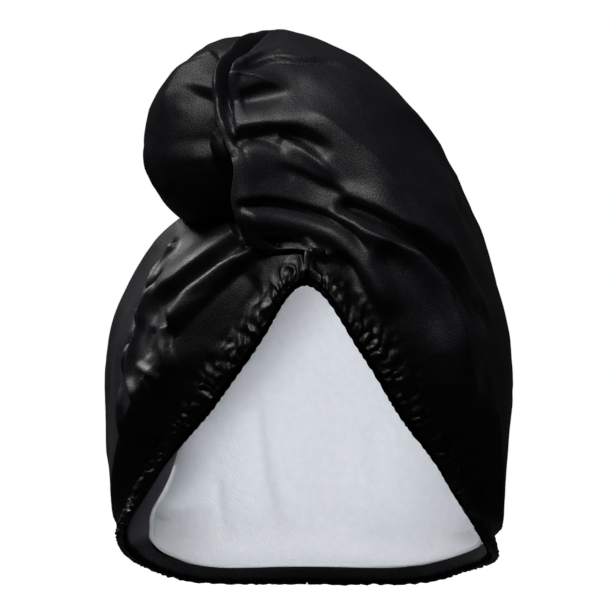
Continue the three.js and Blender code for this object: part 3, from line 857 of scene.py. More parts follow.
RIGHT_FOLDS = (
    lap("crest_tuck", ((-32, 57), (-24, 62), (-17, 65), (-10, 67)), 1, 2.2, 4, 4, (0.1, 0.5)),
    lap("crest_pleat", ((-37, 54), (-28, 58.5), (-18, 60.5), (-4, 61), (10, 60), (22, 57), (32, 52)), 1.6,
         2.2, 6, 7, (0.05, 0.5)),
    lap("crown_tuck", ((-34, 42), (-28, 43.5), (-22, 45), (-13, 45.5), (-5, 46)), 0.8, 1.8, 8, 8,
         (0.1, 0.5)),
    lap("shoulder_lap", ((-42, 16), (-39, 19), (-36, 21.5), (-30, 24), (-20, 26), (-10, 25.5), (-3, 24),
                         (4, 21), (10, 17.5), (16, 13)), 2.8, 6.5, 13, 7, (0.02, 0.4)),
    Fold("shoulder_hollow", ((-14, 22), (-4, 20), (4, 16.5), (12, 12)), -3.5, 4, 4),
    Fold("inner_ridge", ((-16, 24), (-8, 19), (-2, 15), (4, 10), (10, 4), (15, -1)), 3, 1.8, 3.6, 1.5),
    Fold("inner_crease", ((-29, 23), (-20, 20.5), (-13, 17.5), (-8, 15.5)), -2, 2, 3, 1.8),
    lap("middle_tuck", ((-14, 9), (-8, 6), (-2, 3), (5, 0), (12, -3.5), (20, -8), (26, -11)), 0.9, 2, 5, 5,
         (0.2, 0.3)),
    Fold("shoulder_ridge", ((-6, 33), (4, 31), (14, 25), (20, 20.5), (28, 14), (36, 6), (42, 0), (48, -6),
                            (54, -13), (60, -21), (66, -28), (72, -37), (78, -46)), 3.4, 12, 10, 1.05,
         (0.15, 0.15), (1, 1)),
    lap("middle_lap", ((13, -10.5), (20, -11), (26, -12.5), (32, -15), (40, -19), (50, -24), (58, -28.5),
                       (66, -34), (72, -39.5), (78, -47), (84, -56), (89, -67), (92, -77)), 3, 7, 8, 9,
         (0.1, 0.15), 2.6),
    Fold("brow_ridge", ((10, -15.5), (18, -19), (24, -22), (30, -25.5), (36, -28), (42, -30.5), (48, -33),
                        (54, -37), (58, -40.5), (62, -46), (67, -53), (72, -64), (77, -77), (81, -90),
                        (83, -98)), 6, 2.2, 5, 1.6, (0.08, 0.2)),
    lap("brow_lap", ((-39, -16), (-35, -13), (-30, -11.5), (-20, -10.8), (-10, -11.5), (0, -14), (8, -17),
                     (16, -20), (20, -22.5), (24, -26), (28, -31), (31, -37), (33, -44)), 2, 5.5, 7, 4.5,
         (0.02, 0.25)),
    Fold("brow_roll", ((-34, -19), (-20, -20), (-5, -21.5), (8, -25), (18, -30), (26, -38), (32, -48),
                       (38, -60), (43, -70)), 6, 6, 6, 2.4, (0.04, 0.2), (1, 0.9)),
    lap("under_roll", ((-33, -24), (-29, -27), (-24, -28.5), (-15, -29.5), (-5, -30), (0, -33), (6, -37.5),
                       (12, -38.5), (16, -37.5), (20, -38.5), (25, -44), (29, -52), (33, -60)), 1.5, 5.5, 5,
         7, (0.04, 0.25)),
    Fold("cheek_hollow", ((34, -33), (44, -42), (54, -54), (62, -70), (66, -86)), -4.5, 9, 8, 2.2),
    Fold("cheek_crease", ((72, -52), (78, -66), (82, -80), (85, -95), (85.5, -108)), -4.5, 3.2, 3.2),
    Fold("jaw_fold", ((94, -108), (95, -128), (94, -142), (88, -151)), 2, 3, 3),
    Fold("side_sweep", ((-50, 40), (-20, 20), (20, -30), (44, -80)), 3, 14, 9, 1.6, view=View.RIGHT),
    Fold("side_hollow", ((-50, -10), (-20, -30), (12, -80), (20, -130)), -3.5, 10, 12, 1.7, view=View.RIGHT),
    Fold("nape_sweep", ((60, 0), (70, -60), (60, -120), (40, -170)), 4, 10, 8, 1.6, view=View.RIGHT),
    Fold("back_sweep", ((40, -10), (60, -70), (50, -130), (30, -180)), 4, 9, 8, 1.6, view=View.BACK),
    Fold("back_hollow", ((26, -20), (42, -80), (32, -140), (20, -180)), -4, 8, 8, 1.6, view=View.BACK),
)
LEFT_FOLDS = (
    Fold("outer_crease", ((-65, -27), (-71, -36), (-77, -45), (-82, -55), (-86, -65), (-89, -75),
                          (-91.5, -86), (-94, -98), (-95.5, -112)), -5, 3, 3, 2, (0.08, 0.2), (1, 1)),
    Fold("outer_ridge", ((-63, -30), (-68, -34), (-74, -42), (-79, -52), (-83, -60), (-86, -68), (-88, -76),
                         (-90, -86), (-92, -98), (-93, -112), (-92, -126), (-90, -138)), 4, 2.2, 2.4, 1.7,
         (0.08, 0.2), (1, 1)),
    Fold("second_crease", ((-70, -44), (-76, -52), (-80, -60), (-83.5, -69), (-86, -78)), -5, 2.4, 2.4),
    Fold("second_ridge", ((-72, -50), (-77, -57.5), (-81, -66), (-83.5, -74), (-86, -82), (-88.5, -91),
                          (-88.3, -97), (-86.5, -105), (-83.5, -112), (-80, -118)), 4, 2.2, 2.4, 1.7),
    lap("broad_lap", ((-81, -76), (-80, -70), (-78, -64), (-75, -58.5), (-70, -53.5), (-64, -49.5),
                      (-58, -45), (-50, -39), (-43, -34), (-38, -29.5), (-33, -26.5)), 4.5, 7, 12, 7,
         (0.25, 0.05), 2.4, 7),
    Fold("brow_fold", ((-21, -33), (-33, -39.5), (-42, -44.5), (-50, -50), (-57, -56), (-63, -63),
                       (-69, -69)), 5.5, 4.5, 5, 2.2, (0.06, 0.1), (0.6, 1.2)),
    lap("under_lap", ((-70, -72), (-64, -70), (-60, -67), (-55, -62.5), (-50, -58), (-45, -53),
                      (-40, -48.5), (-33, -42.5), (-25, -37)), 3, 7, 6, 12, (0.05, 0.2), 2.4, 6),
    Fold("rim_hollow", ((-27, -45), (-38, -57), (-50, -72), (-58, -84)), -3, 7, 9, 2, (0.1, 0.4), (1, 1)),
    Fold("hook_fold", ((-70, -70), (-72, -78), (-71.5, -87), (-68, -96)), 3.4, 3.2, 3.2, 2, (0.1, 0.2)),
    Fold("hook_hollow", ((-77, -72), (-79, -80), (-78, -88)), -3, 3.2, 3.2),
    Fold("cheek_loop", ((-86, -90), (-80, -93.5), (-74, -97.5), (-68, -98)), 2.2, 2.4, 2.4),
    Fold("cheek_line", ((-82, -97), (-78, -103), (-75, -110)), 2.6, 2, 2),
    Fold("side_sweep", ((-40, -10), (-10, -50), (10, -110), (20, -165)), 3.5, 9, 10, 1.6, view=View.LEFT),
    Fold("side_hollow", ((-10, -10), (16, -60), (30, -120), (34, -170)), -4, 8, 9, 1.6, view=View.LEFT),
    Fold("nape_sweep", ((30, 0), (52, -60), (58, -120), (44, -175)), 4, 9, 8, 1.6, view=View.LEFT),
    Fold("back_sweep", ((-50, -30), (-66, -80), (-54, -140), (-32, -180)), 4, 9, 8, 1.6, view=View.BACK),
    Fold("back_hollow", ((-30, -40), (-44, -90), (-36, -140), (-22, -180)), -4, 8, 8, 1.6, view=View.BACK),
)
TAIL_FOLDS = (
    Fold("lobe_ridge", ((-69, 24), (-69, 32), (-68, 39), (-65, 47), (-61, 52.5), (-55, 55.5), (-49, 58),
                        (-44, 61)), 4.5, 8, 16, 1.25, (0.35, 0.05), (1, 1)),
    Fold("lobe_hollow", ((-46, 44), (-52, 34), (-54, 22), (-53, 8)), -5, 16, 16),
    Fold("lobe_side", ((-66, -8), (-74, 0), (-79, 10), (-78, 22)), 2.5, 7, 7),
)
LINING_FOLDS = (
    Fold("middle_fold", ((8, -80), (10, -120), (13, -159), (18, -184)), 3, 5, 8, 1.8, (0.4, 0.2)),
    Fold("left_fold", ((-26, -110), (-22, -150), (-16, -186)), 3, 4, 7, 1.6),
    Fold("right_fold", ((34, -120), (38, -150), (44, -184)), 2, 5, 6, 1.8),
    Fold("far_left_fold", ((-46, -150), (-44, -170), (-40, -188)), 1.4, 4, 4),
)


def row_shares(rows: int, first: float, last: float) -> np.ndarray:
    """How far up a column each row stands; steps go from first, past 0.62, to last, then fill the column."""
    even = (np.arange(rows) + 0.5) / rows
    steps = lerp(first, 0.62, ease(0, 0.12, even)) + (last - 0.62) * ease(0.55, 1, even)
    return np.concatenate([[0], np.cumsum(steps) / steps.sum()])


def smoothed(values: np.ndarray, reach: int) -> np.ndarray:
    """Grid values averaged over the highest near them, so that none sinks below its own value."""
    for merge in (np.max, np.mean):
        for axis in (0, 1):
            wide = np.pad(values, [(reach, reach) if k == axis else (0, 0) for k in (0, 1)], mode="edge")
            values = merge(np.lib.stride_tricks.sliding_window_view(wide, 2 * reach + 1, axis), -1)
    return values


def run_lengths(points: np.ndarray, axis: int) -> np.ndarray:
    """Distance of each grid point from the first one along an axis of the grid."""
    steps = np.linalg.norm(np.diff(points, axis=axis), axis=-1)
    lengths = np.cumsum(steps, axis=axis)
    start = np.zeros_like(np.take(lengths, [0], axis=axis))
    return np.concatenate([start, lengths], axis=axis)


@dataclass
class SatinPanel:
    """One half of the hood: a gathered satin wall from the hem to the middle of the back."""

    name: str
    is_right: bool
    folds: tuple[Fold, ...]
    seed: int
    columns: int = 360
    rows: int = 218
    roll: float = 4.5  # width of the rolled free edge
    ridge: tuple[float, float] = (2.3, 2.0)  # the twist's ridge: distance from the free edge, and width
    cleft: tuple[float, float, float] = (7.4, 2.1, 11.0)  # the cleft beside it: distance, width and depth
    open_drop: float = 14.0  # how far below the panel it is taken to rest where nothing lies under it

    def bearings(self) -> tuple[np.ndarray, np.ndarray, np.ndarray]:
        """The turn and tilt of every grid point, and each column's share of the way round the hem."""
        along = np.arange(self.columns + 1) / self.columns
        rounds = edge_share(along / 2 if self.is_right else (1 + along) / 2)
        turn, tilt, _ = HEM.beside(rounds, SHOWN_CASING)
        if self.is_right:
            turn[0] = -90
        else:
            turn[-1] = 270
        near = ease(0.2, 1, along) if self.is_right else 1 - ease(0, 0.7, along)

        def turned(tilts: np.ndarray) -> np.ndarray:
            """The turn of every point of the columns, from its tilt."""
            held = lerp(ease(0, 12, tilt[:, None] - tilts), 1, ease(0.85, 1, near)[:, None])
            seam = CROSSING.at("over" if self.is_right else "under", tilts)
            seam -= 0 if self.is_right else 2.5 * ease(126, 129, tilts)
            return turn[:, None] + near[:, None] * held * (seam - FOREHEAD[0])

        even = tilt[:, None] * np.linspace(1, 0, 3 * self.rows + 1)
        lengths = run_lengths(self.base(turned(even), even), 1)
        wanted = row_shares(self.rows, 0.4, 2.4) * lengths[:, -1:]
        tilts = np.array([np.interp(w, known, t) for w, known, t in zip(wanted, lengths, even)])
        return turned(tilts), tilts, rounds

    def base(self, turn: np.ndarray, tilt: np.ndarray) -> np.ndarray:
        """The smooth surface without folds, moved aside a little for the seam."""
        reach = right_reach(turn, tilt) if self.is_right else drawn_reach(turn, tilt)
        shift = SEAM_GAP / 2 if self.is_right else -SEAM_GAP / 2
        points = place_at(turn, tilt, reach)
        points[..., 0] += shift
        points[..., 2] += shift * ease(80, 100, tilt)
        return points

    def lay(self, points: np.ndarray, under: tuple[BVHTree, BVHTree]) -> np.ndarray:
        """Lays the right panel on what is under it, its free edge rolled over and a cleft along the twist.

        Args:
            points: The panel's lifted points.
            under: The left panel, and the tail, which is only felt near the free edge.

        Returns:
            The outer points as laid. Only they are held up: the wall's inner face isn't, and past TAIL_FELT
            from the free edge they can dip into the tail, so the finished pieces cross in places.
        """
        turn, tilt, reach = bearing_of(points)
        inward = run_lengths(points[::-1], 0)[::-1]
        tail = np.where(inward < TAIL_FELT, reach_of(under[1], points), 0)
        floor = np.maximum(reach_of(under[0], points), tail)
        over = floor > 0
        rest = smoothed(np.where(over, floor, reach - self.open_drop), 2) + SATIN_WALL + CLEAR
        reach = np.where(over, np.maximum(reach, rest), reach)
        curve = np.sqrt(np.clip(1 - (1 - np.clip(inward / self.roll, 0, 1)) ** 2, 0, 1))
        plain = np.where(over & (reach - rest < 16), rest + (reach - rest) * curve, reach)
        bell = np.exp(-np.linspace(-2, 2, 17) ** 2)
        edge = np.convolve(np.pad(rest[-1], 8, mode="edge"), bell / bell.sum(), mode="valid")
        lobe = tail_reach(turn, tilt)
        height = lerp(1.0, 4.4, ease(94, 104, tilt))
        twisted = edge + lobe - lobe[-1] + height * np.exp(-((inward - self.ridge[0]) / self.ridge[1]) ** 2)
        twisted -= self.cleft[2] * np.exp(-((inward - self.cleft[0]) / self.cleft[1]) ** 2)
        twisted = np.maximum(lerp(twisted, reach, ease(7, 11, inward)), np.where(over, rest, 0))
        share = ease(84, 98, tilt) * (1 - ease(110, 122, tilt)) * (inward < 20)
        return place_at(turn, tilt, lerp(plain, twisted, share))

    def build(self, under: tuple[BVHTree, BVHTree] | None = None) -> bpy.types.Object:
        """Makes the panel.

        Args:
            under: The left panel and the tail, on which the right panel lies.

        Returns:
            The piece.
        """
        turn, tilt, rounds = self.bearings()
        sheet = Sheet(self.base(turn, tilt), closed=False)
        for fold in self.folds:
            sheet.add(fold)
        away = run_lengths(sheet.base, 1)
        travelled = HEM.travelled(rounds)[:, None]
        to_brow = 2 * np.abs(rounds - 0.5)[:, None]
        # The gathers are lower at the brow, lowest at the bottom corners, and about half as high to the nape.
        calm = 0.7 + 0.3 * ease(0, 0.2, to_brow) - 0.85 * ease(0.46, 0.6, to_brow)
        calm = calm + 0.4 * ease(0.66, 0.76, to_brow)
        shorter = 1.8 - 0.8 * ease(0.1, 0.35, to_brow)  # the gathers end sooner beside the brow
        for tucks in GATHERS:
            sheet.lift += calm * tucks.lift(travelled, away * shorter, sheet.base)
        crumple = 0.7 - 1.4 * np.abs(ripple(sheet.base, 9, self.seed + 3))
        sheet.lift += calm * (1 - ease(9, 22, away)) * crumple
        free = ease(0, 25, away)
        if self.is_right:
            inward = run_lengths(sheet.base[::-1], 0)[::-1]
            sheet.lift *= ease(0, 9, inward)
            free = free * ease(4, 20, inward)
        broad = 0.6 * ripple(sheet.base, 60, self.seed) + 0.3 * ripple(sheet.base, 22, self.seed + 1)
        sheet.lift += free * broad
        sheet.lift += 0.05 * ripple(sheet.base, 8, self.seed + 2) - 1.5 * free
        spare = np.linalg.norm(sheet.base - HUB, axis=-1) - drawn_reach(turn, tilt)
        # This holds the folds back, but doesn't keep the wall clear of the lining everywhere.
        deepest = 2.4 + 1.8 * ease(8, 28, away) + ease(28, 48, away) + np.clip(spare, 0, 4.4)
        points = sheet.raised(deepest, highest=8)
        points -= sheet.normals * (1.6 * (1 - ease(0, 4, away)))[..., None]
        if under is not None:
            points = self.lay(points, under)
        points[:, -1] = points[:, -1].mean(0)
        lift = np.sum((points - sheet.base) * sheet.normals, -1)
        across = run_lengths(sheet.base, 0)
        cloth = np.stack([across - across[self.columns // 2], away], -1)
        # The ruching share: painted shade in the gathers near the hem, and a little less roughness there.
        shares = {"ruched_and_shade": 1 - ease(12, 42, away)}
        return walled(self.name, points, sheet.normals, lift, SATIN_WALL, cloth, shares)


@dataclass
class TwistTail:
    """The wound tail: a soft rope from the lobe above the brow, over the crown and down the back."""

    sides: int = 240
    stations: int = 330
    strands: int = 3
    turns: float = 1.3
    depth: float = 0.13
    tuck: float = 15.0  # how far it shrinks where the right panel covers it

    def section(self, along: np.ndarray) -> tuple[np.ndarray, np.ndarray, np.ndarray, np.ndarray, np.ndarray]:
        """The tail's middle line, its two half widths, and the ways across it and away from the hood."""
        def middle(at: np.ndarray) -> np.ndarray:
            """Points of the middle line."""
            at = np.clip(at, 0, 1)
            return np.stack([TAIL.at(key, at) for key in ("x", "y", "z")], -1)

        way = unit(middle(along + 0.01) - middle(along - 0.01))
        across = unit(np.array([1.0, 0, 0]) - way * way[..., :1])
        return middle(along), TAIL.at("side", along), TAIL.at("up", along), across, np.cross(across, way)

    def base(self) -> tuple[np.ndarray, np.ndarray, np.ndarray]:
        """The wound shape's points, and the angle and place along the tail of each."""
        along = (np.arange(self.stations + 1) / self.stations)[None, :] ** 1.15
        angle = -2 * math.pi * (np.arange(self.sides + 1) / self.sides)[:, None]
        centre, side, up, across, away = self.section(along)
        wound = np.abs(np.cos(self.strands / 2 * (angle - 2 * math.pi * self.turns * along))) ** 0.9
        full = 1 - self.depth * (1 - wound) * ease(0.16, 0.42, along)
        squeeze = 1 - 0.1 * np.exp(-((along - 0.945) / 0.02) ** 2)
        size = full * squeeze
        points = (centre + across * (side * size * np.cos(angle))[..., None]
                  + away * (up * size * np.sin(angle))[..., None])
        return points, angle + 0 * along, along + 0 * angle

    def build(self, under: BVHTree) -> bpy.types.Object:
        """Makes the tail.

        Args:
            under: The pieces that it lies on.

        Returns:
            The piece.
        """
        points, angle, along = self.base()
        sheet = Sheet(points[:-1], closed=True)
        for fold in TAIL_FOLDS:
            sheet.add(fold)
        base = sheet.base
        wind = angle[:-1] - 2 * math.pi * self.turns * along[:-1]
        strand = ease(0.2, 0.45, along[:-1])
        fine = np.cos(11 * wind + 2.5 * ripple(base, 60, 71)) * (0.6 + 0.4 * ripple(base, 35, 72))
        finer = np.cos(23 * wind + 3.0 * ripple(base, 40, 73)) * (0.5 + 0.5 * ripple(base, 28, 74))
        sheet.lift += strand * (0.9 * fine + 0.45 * finer)
        sheet.lift += 0.5 * ripple(base, 50, 75) + 0.15 * ripple(base, 20, 76) + 0.08 * ripple(base, 8, 77)
        turn, tilt, _ = bearing_of(base)
        covered = ease(0.5, 1.7, CROSSING.at("over", tilt) - turn)
        covered = covered * ease(56, 66, tilt) * (1 - ease(128, 134, tilt))
        centre, *_ = self.section(along[:-1])
        outer = sheet.raised(deepest=7, highest=6)
        outer = outer - unit(outer - centre) * (self.tuck * covered)[..., None]
        turn, tilt, reach = bearing_of(outer)
        rest = reach_of(under, outer) + 0.5
        outer = place_at(turn, tilt, np.maximum(reach, rest))
        for row in (0, -1):
            outer[:, row] = outer[:, row].mean(0)
        ids = np.arange(outer.shape[0] * outer.shape[1]).reshape(outer.shape[:2])
        ids[:, 0], ids[:, -1] = ids[0, 0], ids[0, -1]
        ids = np.vstack([ids, ids[:1]])
        round_length = -angle[:-1] * TAIL.at("side", along[:-1])
        cloth = np.stack([round_length, run_lengths(base, 1)], -1).reshape(-1, 2)
        return make_compact("twist_tail_satin", outer.reshape(-1, 3), quads(ids), cloth, {})


@dataclass
class Lining:
    """The towelling cap inside: its inner face is the fine one, with soft folds down to the nape."""

    columns: int = 320
    rows: int = 176

    def build(self) -> bpy.types.Object:
        """Makes the lining."""
        rounds = edge_share(np.arange(self.columns + 1) / self.columns)
        turn, edge, _ = HEM.beside(rounds, HEM_WIDTH + 0.4)
        turn[0], turn[-1] = -90, 270
        tilt = edge[:, None] * (1 - row_shares(self.rows, 0.45, 1.4))
        turn = turn[:, None] + 0 * tilt
        from_hem = tilt_from_hem(turn, tilt)
        lean = FLARE.at("lean", turn) * (1 - ease(0, 40, from_hem))
        drop = lerp(*LINING_DROP, ease(0, 14, from_hem)) + LINING_WALL + lean
        base = place_at(turn, tilt, drawn_reach(turn, tilt) - drop)
        sheet = Sheet(base, closed=False)
        sheet.normals = -sheet.normals
        for fold in LINING_FOLDS:
            sheet.add(fold)
        away = run_lengths(base, 1)
        travelled = HEM.travelled(rounds)[:, None]
        sheet.lift += 0.35 * Tucks(9.0, 1.6, 4, 22, 91).lift(travelled, away, base)
        sheet.lift += 0.7 * ripple(base, 45, 92) + 0.2 * ripple(base, 16, 93) + 0.1 * ripple(base, 5, 94)
        points = sheet.raised(deepest=0.3, highest=4)
        points[-1] = points[0]
        points[:, -1] = points[:, -1].mean(0)
        cloth = np.stack([travelled + 0 * away, away], -1)
        return walled("towelling_lining", points, sheet.normals, sheet.lift, LINING_WALL, cloth, {})


@dataclass
class HemBand:
    """The hem's casing over its elastic: ruffled outside, scalloped at the edge, smoother on its facing."""

    stations: int = 1560
    sides: int = 26
    scallop: float = 0.6

    def surface(self, rounds: np.ndarray, angle: np.ndarray) -> tuple[np.ndarray, np.ndarray, np.ndarray]:
        """Points of the casing.

        Args:
            rounds: Shares of the way round the hem.
            angle: Angles round the section: 0 at the hem, a quarter turn on the facing.

        Returns:
            The points, how much painted light from the lining each shows on its facing, and its distance in
            from the hem.
        """
        def squared(value: np.ndarray) -> np.ndarray:
            """A sine or cosine made squarer."""
            return np.sign(value) * np.abs(value) ** 0.7

        middle, half = (HEM_OUTSIDE + HEM_INSIDE) / 2, (HEM_INSIDE - HEM_OUTSIDE) / 2
        facing = ease(-0.2, 0.5, np.sin(angle)) + 0 * rounds
        inward = HEM_WIDTH / 2 * (1 - squared(np.cos(angle))) + 0 * rounds
        spots = HEM.read(HEM.line, rounds + 0 * angle)
        travelled = HEM.travelled(rounds) + 0 * angle
        stray = 1.4 * ripple(spots, 16, 11) + 4.5 * ripple(spots, 45, 12)
        wave = np.abs(np.cos(math.pi * (travelled + stray) / 5.0)) - 0.6
        small = np.cos(2 * math.pi * (travelled + 0.5 * stray) / 2.6)
        outward = (1 - facing) * (1 - ease(1, 4, inward)) * 0.6 * wave + facing * 0.05 * small
        inward = inward - self.scallop * wave * (1 - ease(0, 4, inward))
        turn, tilt, _ = HEM.beside(rounds + 0 * angle, inward)
        lean = FLARE.at("lean", turn) * facing * np.clip(inward / HEM_WIDTH, 0, 1)
        depth = middle + half * squared(np.sin(angle)) + lean - outward
        # painted light: the facing is greyed only where it leans into the hood, towards the lining
        grey = facing * ease(4, 11, FLARE.at("lean", turn))
        return place_at(turn, tilt, hood_reach(turn, tilt) - drawn_in(turn, 0 * turn) - depth), grey, inward

    def build(self) -> bpy.types.Object:
        """Makes the casing."""
        rounds = (np.arange(self.stations) / self.stations)[:, None]
        angle = (2 * math.pi * (np.arange(self.sides) + 0.5) / self.sides)[None, :]
        points, facing, inward = self.surface(rounds, angle)
        faces = tube(self.stations, self.sides)
        cloth = np.stack([HEM.travelled(rounds) + 0 * angle, inward], -1).reshape(-1, 2)
        return make_compact("hem_casing", points.reshape(-1, 3), faces, cloth, {"facing": facing.ravel()})

    def stitches(self, spacing: float = 3.4) -> bpy.types.Object:
        """Makes the casing's seam: a row of short stitches beside the panels."""
        count = int(HEM.length / spacing)
        middle = (np.arange(count) + 0.5) / count
        half, radius = 0.36 / count, 0.28
        sides, rings = 6, 5
        points, faces = [], []
        for at in middle:
            shares = at + half * np.linspace(-1, 1, rings)
            turn, tilt, _ = HEM.beside(shares, np.full(rings, HEM_WIDTH - 1.2))
            line = place_at(turn, tilt, hood_reach(turn, tilt) - drawn_in(turn, 0 * turn) - HEM_OUTSIDE + 0.6)
            way = unit(line[-1] - line[0])
            out = unit(line.mean(0) - HUB)
            side = np.cross(way, out)
            first = len(points)
            for ring, spot in enumerate(line):
                size = radius * (0.35 if ring in (0, rings - 1) else 1)
                sink = 0.5 if ring in (0, rings - 1) else 0
                for k in range(sides):
                    a = 2 * math.pi * k / sides
                    points.append(spot - out * sink + size * (math.cos(a) * out + math.sin(a) * side))
            for ring in range(rings - 1):
                for k in range(sides):
                    a, b = first + ring * sides + k, first + ring * sides + (k + 1) % sides
                    faces.append((a, b, b + sides, a + sides))
            faces.append(tuple(first + k for k in range(sides)))
            faces.append(tuple(first + (rings - 1) * sides + k for k in reversed(range(sides))))
        cloth = np.zeros((len(points), 2))
        return make_object("hem_stitches", np.array(points), faces, cloth, {})


@dataclass
class TailLoop:
    """The ribbed elastic loop at the nape that holds the tail's end."""

    z: float = -158.0
    along: float = 0.935
    width: float = 8.0
    wall: float = 2.0
    stations: int = 360
    sides: int = 16
    seam_reach: int = 6  # how many stations to each side are felt, to lie level past the seam of the panels

    def build(self, under: BVHTree) -> bpy.types.Object:
        """Makes the loop.

        Args:
            under: The pieces that it lies on.

        Returns:
            The piece.
        """
        x, y = float(TAIL.at("x", self.along)), float(TAIL.at("y", self.along))
        side, up = float(TAIL.at("side", self.along)), float(TAIL.at("up", self.along))
        angle = (2 * math.pi * np.arange(self.stations) / self.stations)[:, None]
        corner = (2 * math.pi * (np.arange(self.sides) + 0.5) / self.sides)[None, :]
        squared = [np.sign(f) * np.abs(f) ** 0.45 for f in (np.cos(corner), np.sin(corner))]
        rib = 0.22 * np.cos(2 * math.pi * 5 * squared[1] * 0.5) * (1 - np.abs(squared[1]))
        spare = 0.4 + self.wall / 2 * (1 + squared[0]) + rib + 0.12 * np.cos(60 * angle)
        z = self.z + self.width / 2 * squared[1] + 0.3 * np.sin(3 * angle)
        across, away = x + (side + spare) * np.cos(angle), y + (up + spare) * np.sin(angle)
        points = np.stack([across, away, z + 0 * angle], -1)
        turn, tilt, reach = bearing_of(points)
        floor = reach_of(under, points)
        floor = np.max([np.roll(floor, k, 0) for k in range(-self.seam_reach, self.seam_reach + 1)], 0)
        rest = floor + 0.8 + self.wall - spare
        sewn = ease(0.2, 0.8, -np.sin(angle))
        laid = place_at(turn, tilt, lerp(np.maximum(reach, rest), rest, sewn))
        laid[..., 2] = points[..., 2]
        cloth = np.stack([angle * side + 0 * corner, 0 * angle + self.width * corner / 6], -1).reshape(-1, 2)
        return make_compact("elastic_loop", laid.reshape(-1, 3), tube(self.stations, self.sides), cloth, {})


# ---- The studio ----
@dataclass(frozen=True)
class Lamp:
    """A square soft light that faces the wrap."""

    name: str
    place: tuple[float, float, float]
    size: float
    power: float
    only: str = ""  # the one piece that it lights, if not all
    aim: tuple[float, float, float] = (0.0, 0.0, -0.07)

    def make(self) -> None:
        """Adds the light."""
        data = bpy.data.lights.new(self.name, "AREA")
        data.shape, data.size, data.energy = "SQUARE", self.size, self.power
        lamp = bpy.data.objects.new(self.name, data)
        lamp.location = self.place
        lamp.rotation_euler = (Vector(self.aim) - Vector(self.place)).to_track_quat("-Z", "Y").to_euler()
        bpy.context.scene.collection.objects.link(lamp)
        if self.only:
            lit = bpy.data.collections.new(self.name + "_lights")
            lit.objects.link(bpy.data.objects[self.only])
            lamp.light_linking.receiver_collection = lit


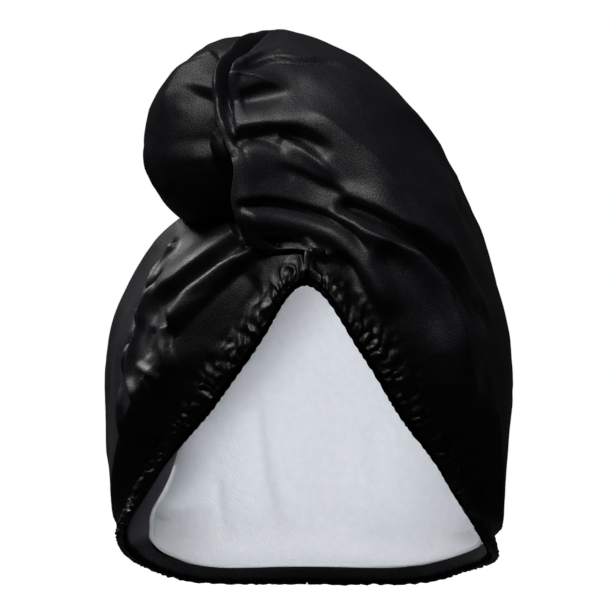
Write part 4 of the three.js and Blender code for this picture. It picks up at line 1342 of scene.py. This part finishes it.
@dataclass
class Studio:
    """A pale floor, soft lights and a level camera in front."""

    floor_height: float = -0.30
    frame_width: float = 0.308
    distance: float = 3.2
    look: tuple[float, float, float] = (0.0005, 0.0, -0.063)
    lamps: tuple[Lamp, ...] = (
        Lamp("key", (-0.3, -1.0, 1.7), 0.6, 23),
        Lamp("rim", (-0.9, -1.1, 1.3), 1.5, 22, only="right_panel_satin"),
        Lamp("top", (-0.75, 0.4, 1.5), 0.6, 7),
        Lamp("side", (-1.5, 0.5, 1.9), 0.9, 62, only="left_panel_satin"),
        Lamp("opening", (-0.2, -2.6, -0.42), 0.6, 178, only="towelling_lining"),
        Lamp("under", (0.0, -1.5, -1.3), 0.8, 105, only="towelling_lining"),
    )

    def add_floor(self) -> None:
        """Adds the pale floor, which neither reflects in the wrap nor lights it."""
        bpy.ops.object.select_all(action="DESELECT")
        bpy.ops.mesh.primitive_plane_add(size=8, location=(0, 0, self.floor_height))
        floor = bpy.context.object
        floor.name = "studio_floor"
        paint, _, shader = finish("studio_floor")
        shader.inputs["Base Color"].default_value = (0.9, 0.9, 0.9, 1)
        shader.inputs["Roughness"].default_value = 0.9
        shader.inputs["Emission Color"].default_value = (1, 1, 1, 1)
        shader.inputs["Emission Strength"].default_value = 1.0
        floor.data.materials.append(paint)
        floor.visible_glossy = False
        floor.visible_diffuse = False

    def add_surroundings(self) -> None:
        """Adds surroundings that are white to the camera and dim to everything else."""
        world = bpy.data.worlds.new("studio")
        world.use_nodes = True
        wiring = Wiring(world.node_tree)
        output = world.node_tree.nodes["World Output"]
        seen = world.node_tree.nodes["Background"]
        seen.inputs["Color"].default_value = (1, 1, 1, 1)
        soft = wiring.add("Background", Color=(0.9, 0.95, 1.0, 1), Strength=0.03)
        straight = wiring.add("LightPath").outputs["Is Camera Ray"]
        mixed = wiring.add("MixShader", input0=straight, input1=soft.outputs[0], input2=seen.outputs[0])
        world.node_tree.links.new(mixed.outputs[0], output.inputs["Surface"])
        bpy.context.scene.world = world
        bpy.context.scene.view_settings.view_transform = "Standard"

    def add_camera(self) -> None:
        """Adds the level camera in front."""
        scene = bpy.context.scene
        data = bpy.data.cameras.new("camera")
        data.lens = data.sensor_width * self.distance / self.frame_width
        camera = bpy.data.objects.new("camera", data)
        aim = Vector(self.look)
        camera.location = aim + Vector((0, -self.distance, 0))
        camera.rotation_euler = (aim - camera.location).to_track_quat("-Z", "Y").to_euler()
        scene.collection.objects.link(camera)
        scene.camera = camera

    def build(self) -> None:
        """Adds the floor, the lights, the surroundings and the camera."""
        self.add_floor()
        for lamp in self.lamps:
            lamp.make()
        self.add_surroundings()
        self.add_camera()


class TowelWrap:
    """The whole wrap: builds the pieces from the inside out, dresses them and says what each stands for."""

    def keep(self, piece: bpy.types.Object, material: bpy.types.Material,
             node: str | None) -> bpy.types.Object:
        """Dresses a piece and joins it to the frame.

        Args:
            piece: The piece.
            material: Its finish.
            node: The CAD piece that it stands for, or None.

        Returns:
            The piece.
        """
        piece.data.materials.append(material)
        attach(piece, "root")
        if node:
            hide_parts(node)
        log.info("%s stands for %s", piece.name, node or "no CAD piece")
        return piece

    def build(self) -> None:
        """Makes every piece."""
        satin = Satin("black_satin").make()
        casing = Casing().make()
        towelling = Towelling().make()
        lining = self.keep(Lining().build(), towelling, "lining")
        left = self.keep(SatinPanel("left_panel_satin", False, LEFT_FOLDS, 41).build(), satin,
                         "left_panel")
        under = tree_of([left])
        tail = self.keep(TwistTail().build(under), satin, "twist_tail")
        panel = SatinPanel("right_panel_satin", True, RIGHT_FOLDS, 51)
        right = self.keep(panel.build((under, tree_of([tail]))), satin, "right_panel")
        band = HemBand()
        hem = self.keep(band.build(), casing, "hem_band")
        stitches = self.keep(band.stitches(), casing, None)
        self.keep(TailLoop().build(tree_of([left, right])), casing, "tail_loop")


def main() -> None:
    """Builds the wrap and the studio."""
    logging.basicConfig(level=logging.INFO, format="%(message)s")
    TowelWrap().build()
    Studio().build()


if __name__ == "__main__":
    main()
